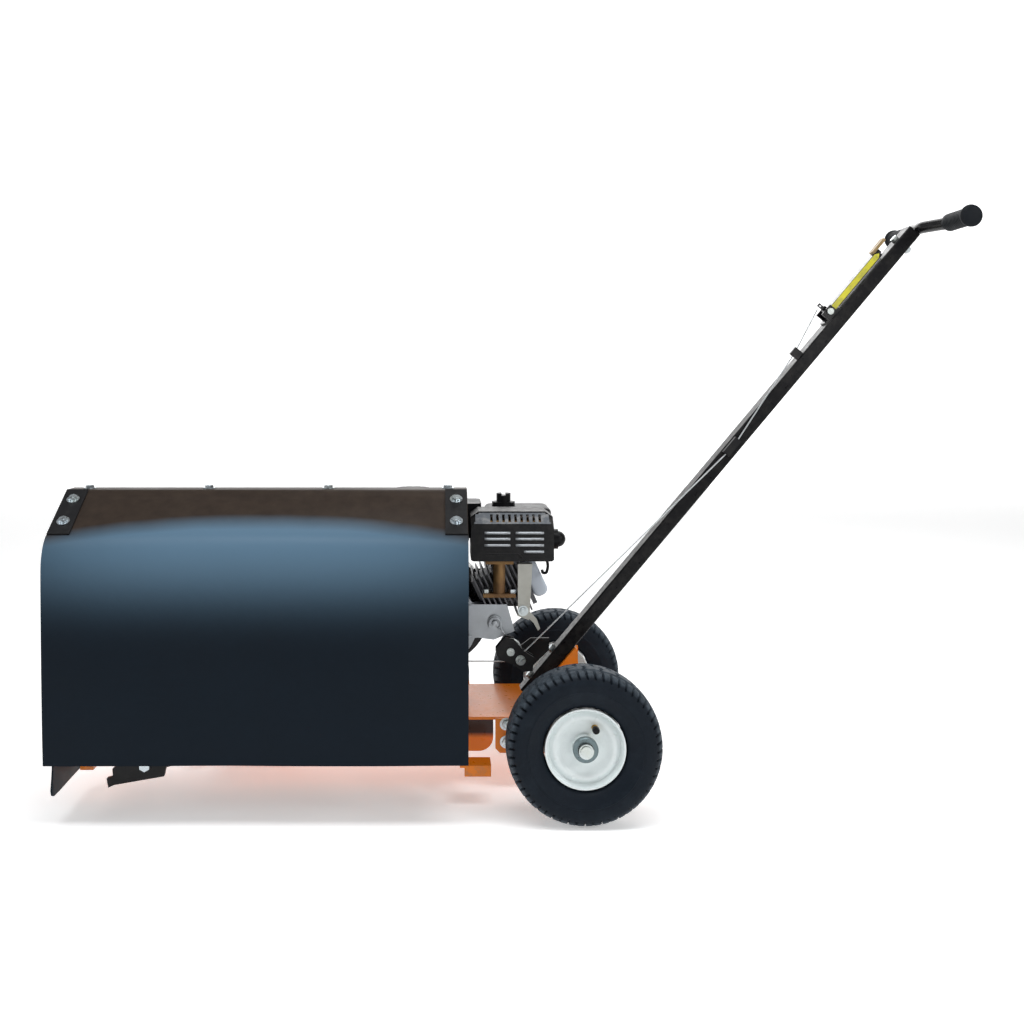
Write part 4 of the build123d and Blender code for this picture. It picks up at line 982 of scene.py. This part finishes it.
# raised boss and curled rib on the casting's near face
ringp = [(-44.6 + 10.5 * math.cos(a), -72.6, 294.8 + 10.5 * math.sin(a)) for a in [math.radians(-60 + 12 * i) for i in range(24)]]
tail = [(-44.6 + 10.5, -72.6, 292.0), (-32.0, -72.4, 283.0), (-27.0, -72.2, 276.0)]
boss = tube([(-44.6, -71.5, 294.8), (-44.6, -76.0, 294.8), (-44.6, -76.8, 294.8)], 5, 24, radii=[6.0, 5.4, 3.5])
V, F = join(tube(ringp, 2.0, 12), tube(smooth_path(tail, 4, 4), 1.8, 12, radii=None), boss)
obj("casting_boss", V, F, ALU, "frame")
# a single rib on the casting
ribs = [rbox(-96 + 22 * i, -93.5 + 22 * i, -74.0, -71.5, 262, 318, 0.7) for i in range(1)]
V, F = join(*ribs)
obj("casting_rib", V, F, ALU, "frame")



# ------------------------------------------------------------- starter rope: a straight cord rising from the housing
V, F = tube([(-236, 138, 354 + 0.6 * i) for i in range(45)], 1.9, 12)
me = bpy.data.meshes.new("starter_rope")
me.from_pydata([tuple(v) for v in V], [], F)
for q in me.polygons:
    q.use_smooth = True
me.materials.append(rubber("starter_rope_braid", (0.05, 0.05, 0.055), 0.7, 0.4, 1500))
rope = bpy.data.objects.new("starter_rope", me)
scn.collection.objects.link(rope)
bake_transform(rope)

# ---- tail ----
def floor():
    me = bpy.data.meshes.new("floor")
    me.from_pydata([(-9, -5, 0), (9, -5, 0), (9, 9, 0), (-9, 9, 0)], [], [(0, 1, 2, 3)])
    o = bpy.data.objects.new("floor", me)
    scn.collection.objects.link(o)
    t = NT("studio_floor")
    c = t.mix(t.rng(t.noise(0.7, 2), 0, 1), (0.90, 0.90, 0.90), (0.94, 0.94, 0.94))
    t.l(c, t.b.inputs["Base Color"])
    t.b.inputs["Emission Color"].default_value = (1, 1, 1, 1)
    t.b.inputs["Emission Strength"].default_value = 0.36
    t.b.inputs["Roughness"].default_value = 0.75
    t.b.inputs["Specular IOR Level"].default_value = 0.15
    me.materials.append(t.m)
    me = bpy.data.meshes.new("backdrop")
    me.from_pydata([(-9, 6, -0.5), (9, 6, -0.5), (9, 6, 5), (-9, 6, 5)], [], [(0, 1, 2, 3)])
    o = bpy.data.objects.new("backdrop", me)
    scn.collection.objects.link(o)
    t = NT("studio_backdrop")
    t.l(t.mix(t.rng(t.noise(0.5, 2), 0, 1), (0.97, 0.97, 0.97), (1, 1, 1)), t.b.inputs["Emission Color"])
    t.b.inputs["Emission Strength"].default_value = 1.0
    t.b.inputs["Base Color"].default_value = (0.8, 0.8, 0.8, 1)
    t.b.inputs["Roughness"].default_value = 1.0
    me.materials.append(t.m)


floor()
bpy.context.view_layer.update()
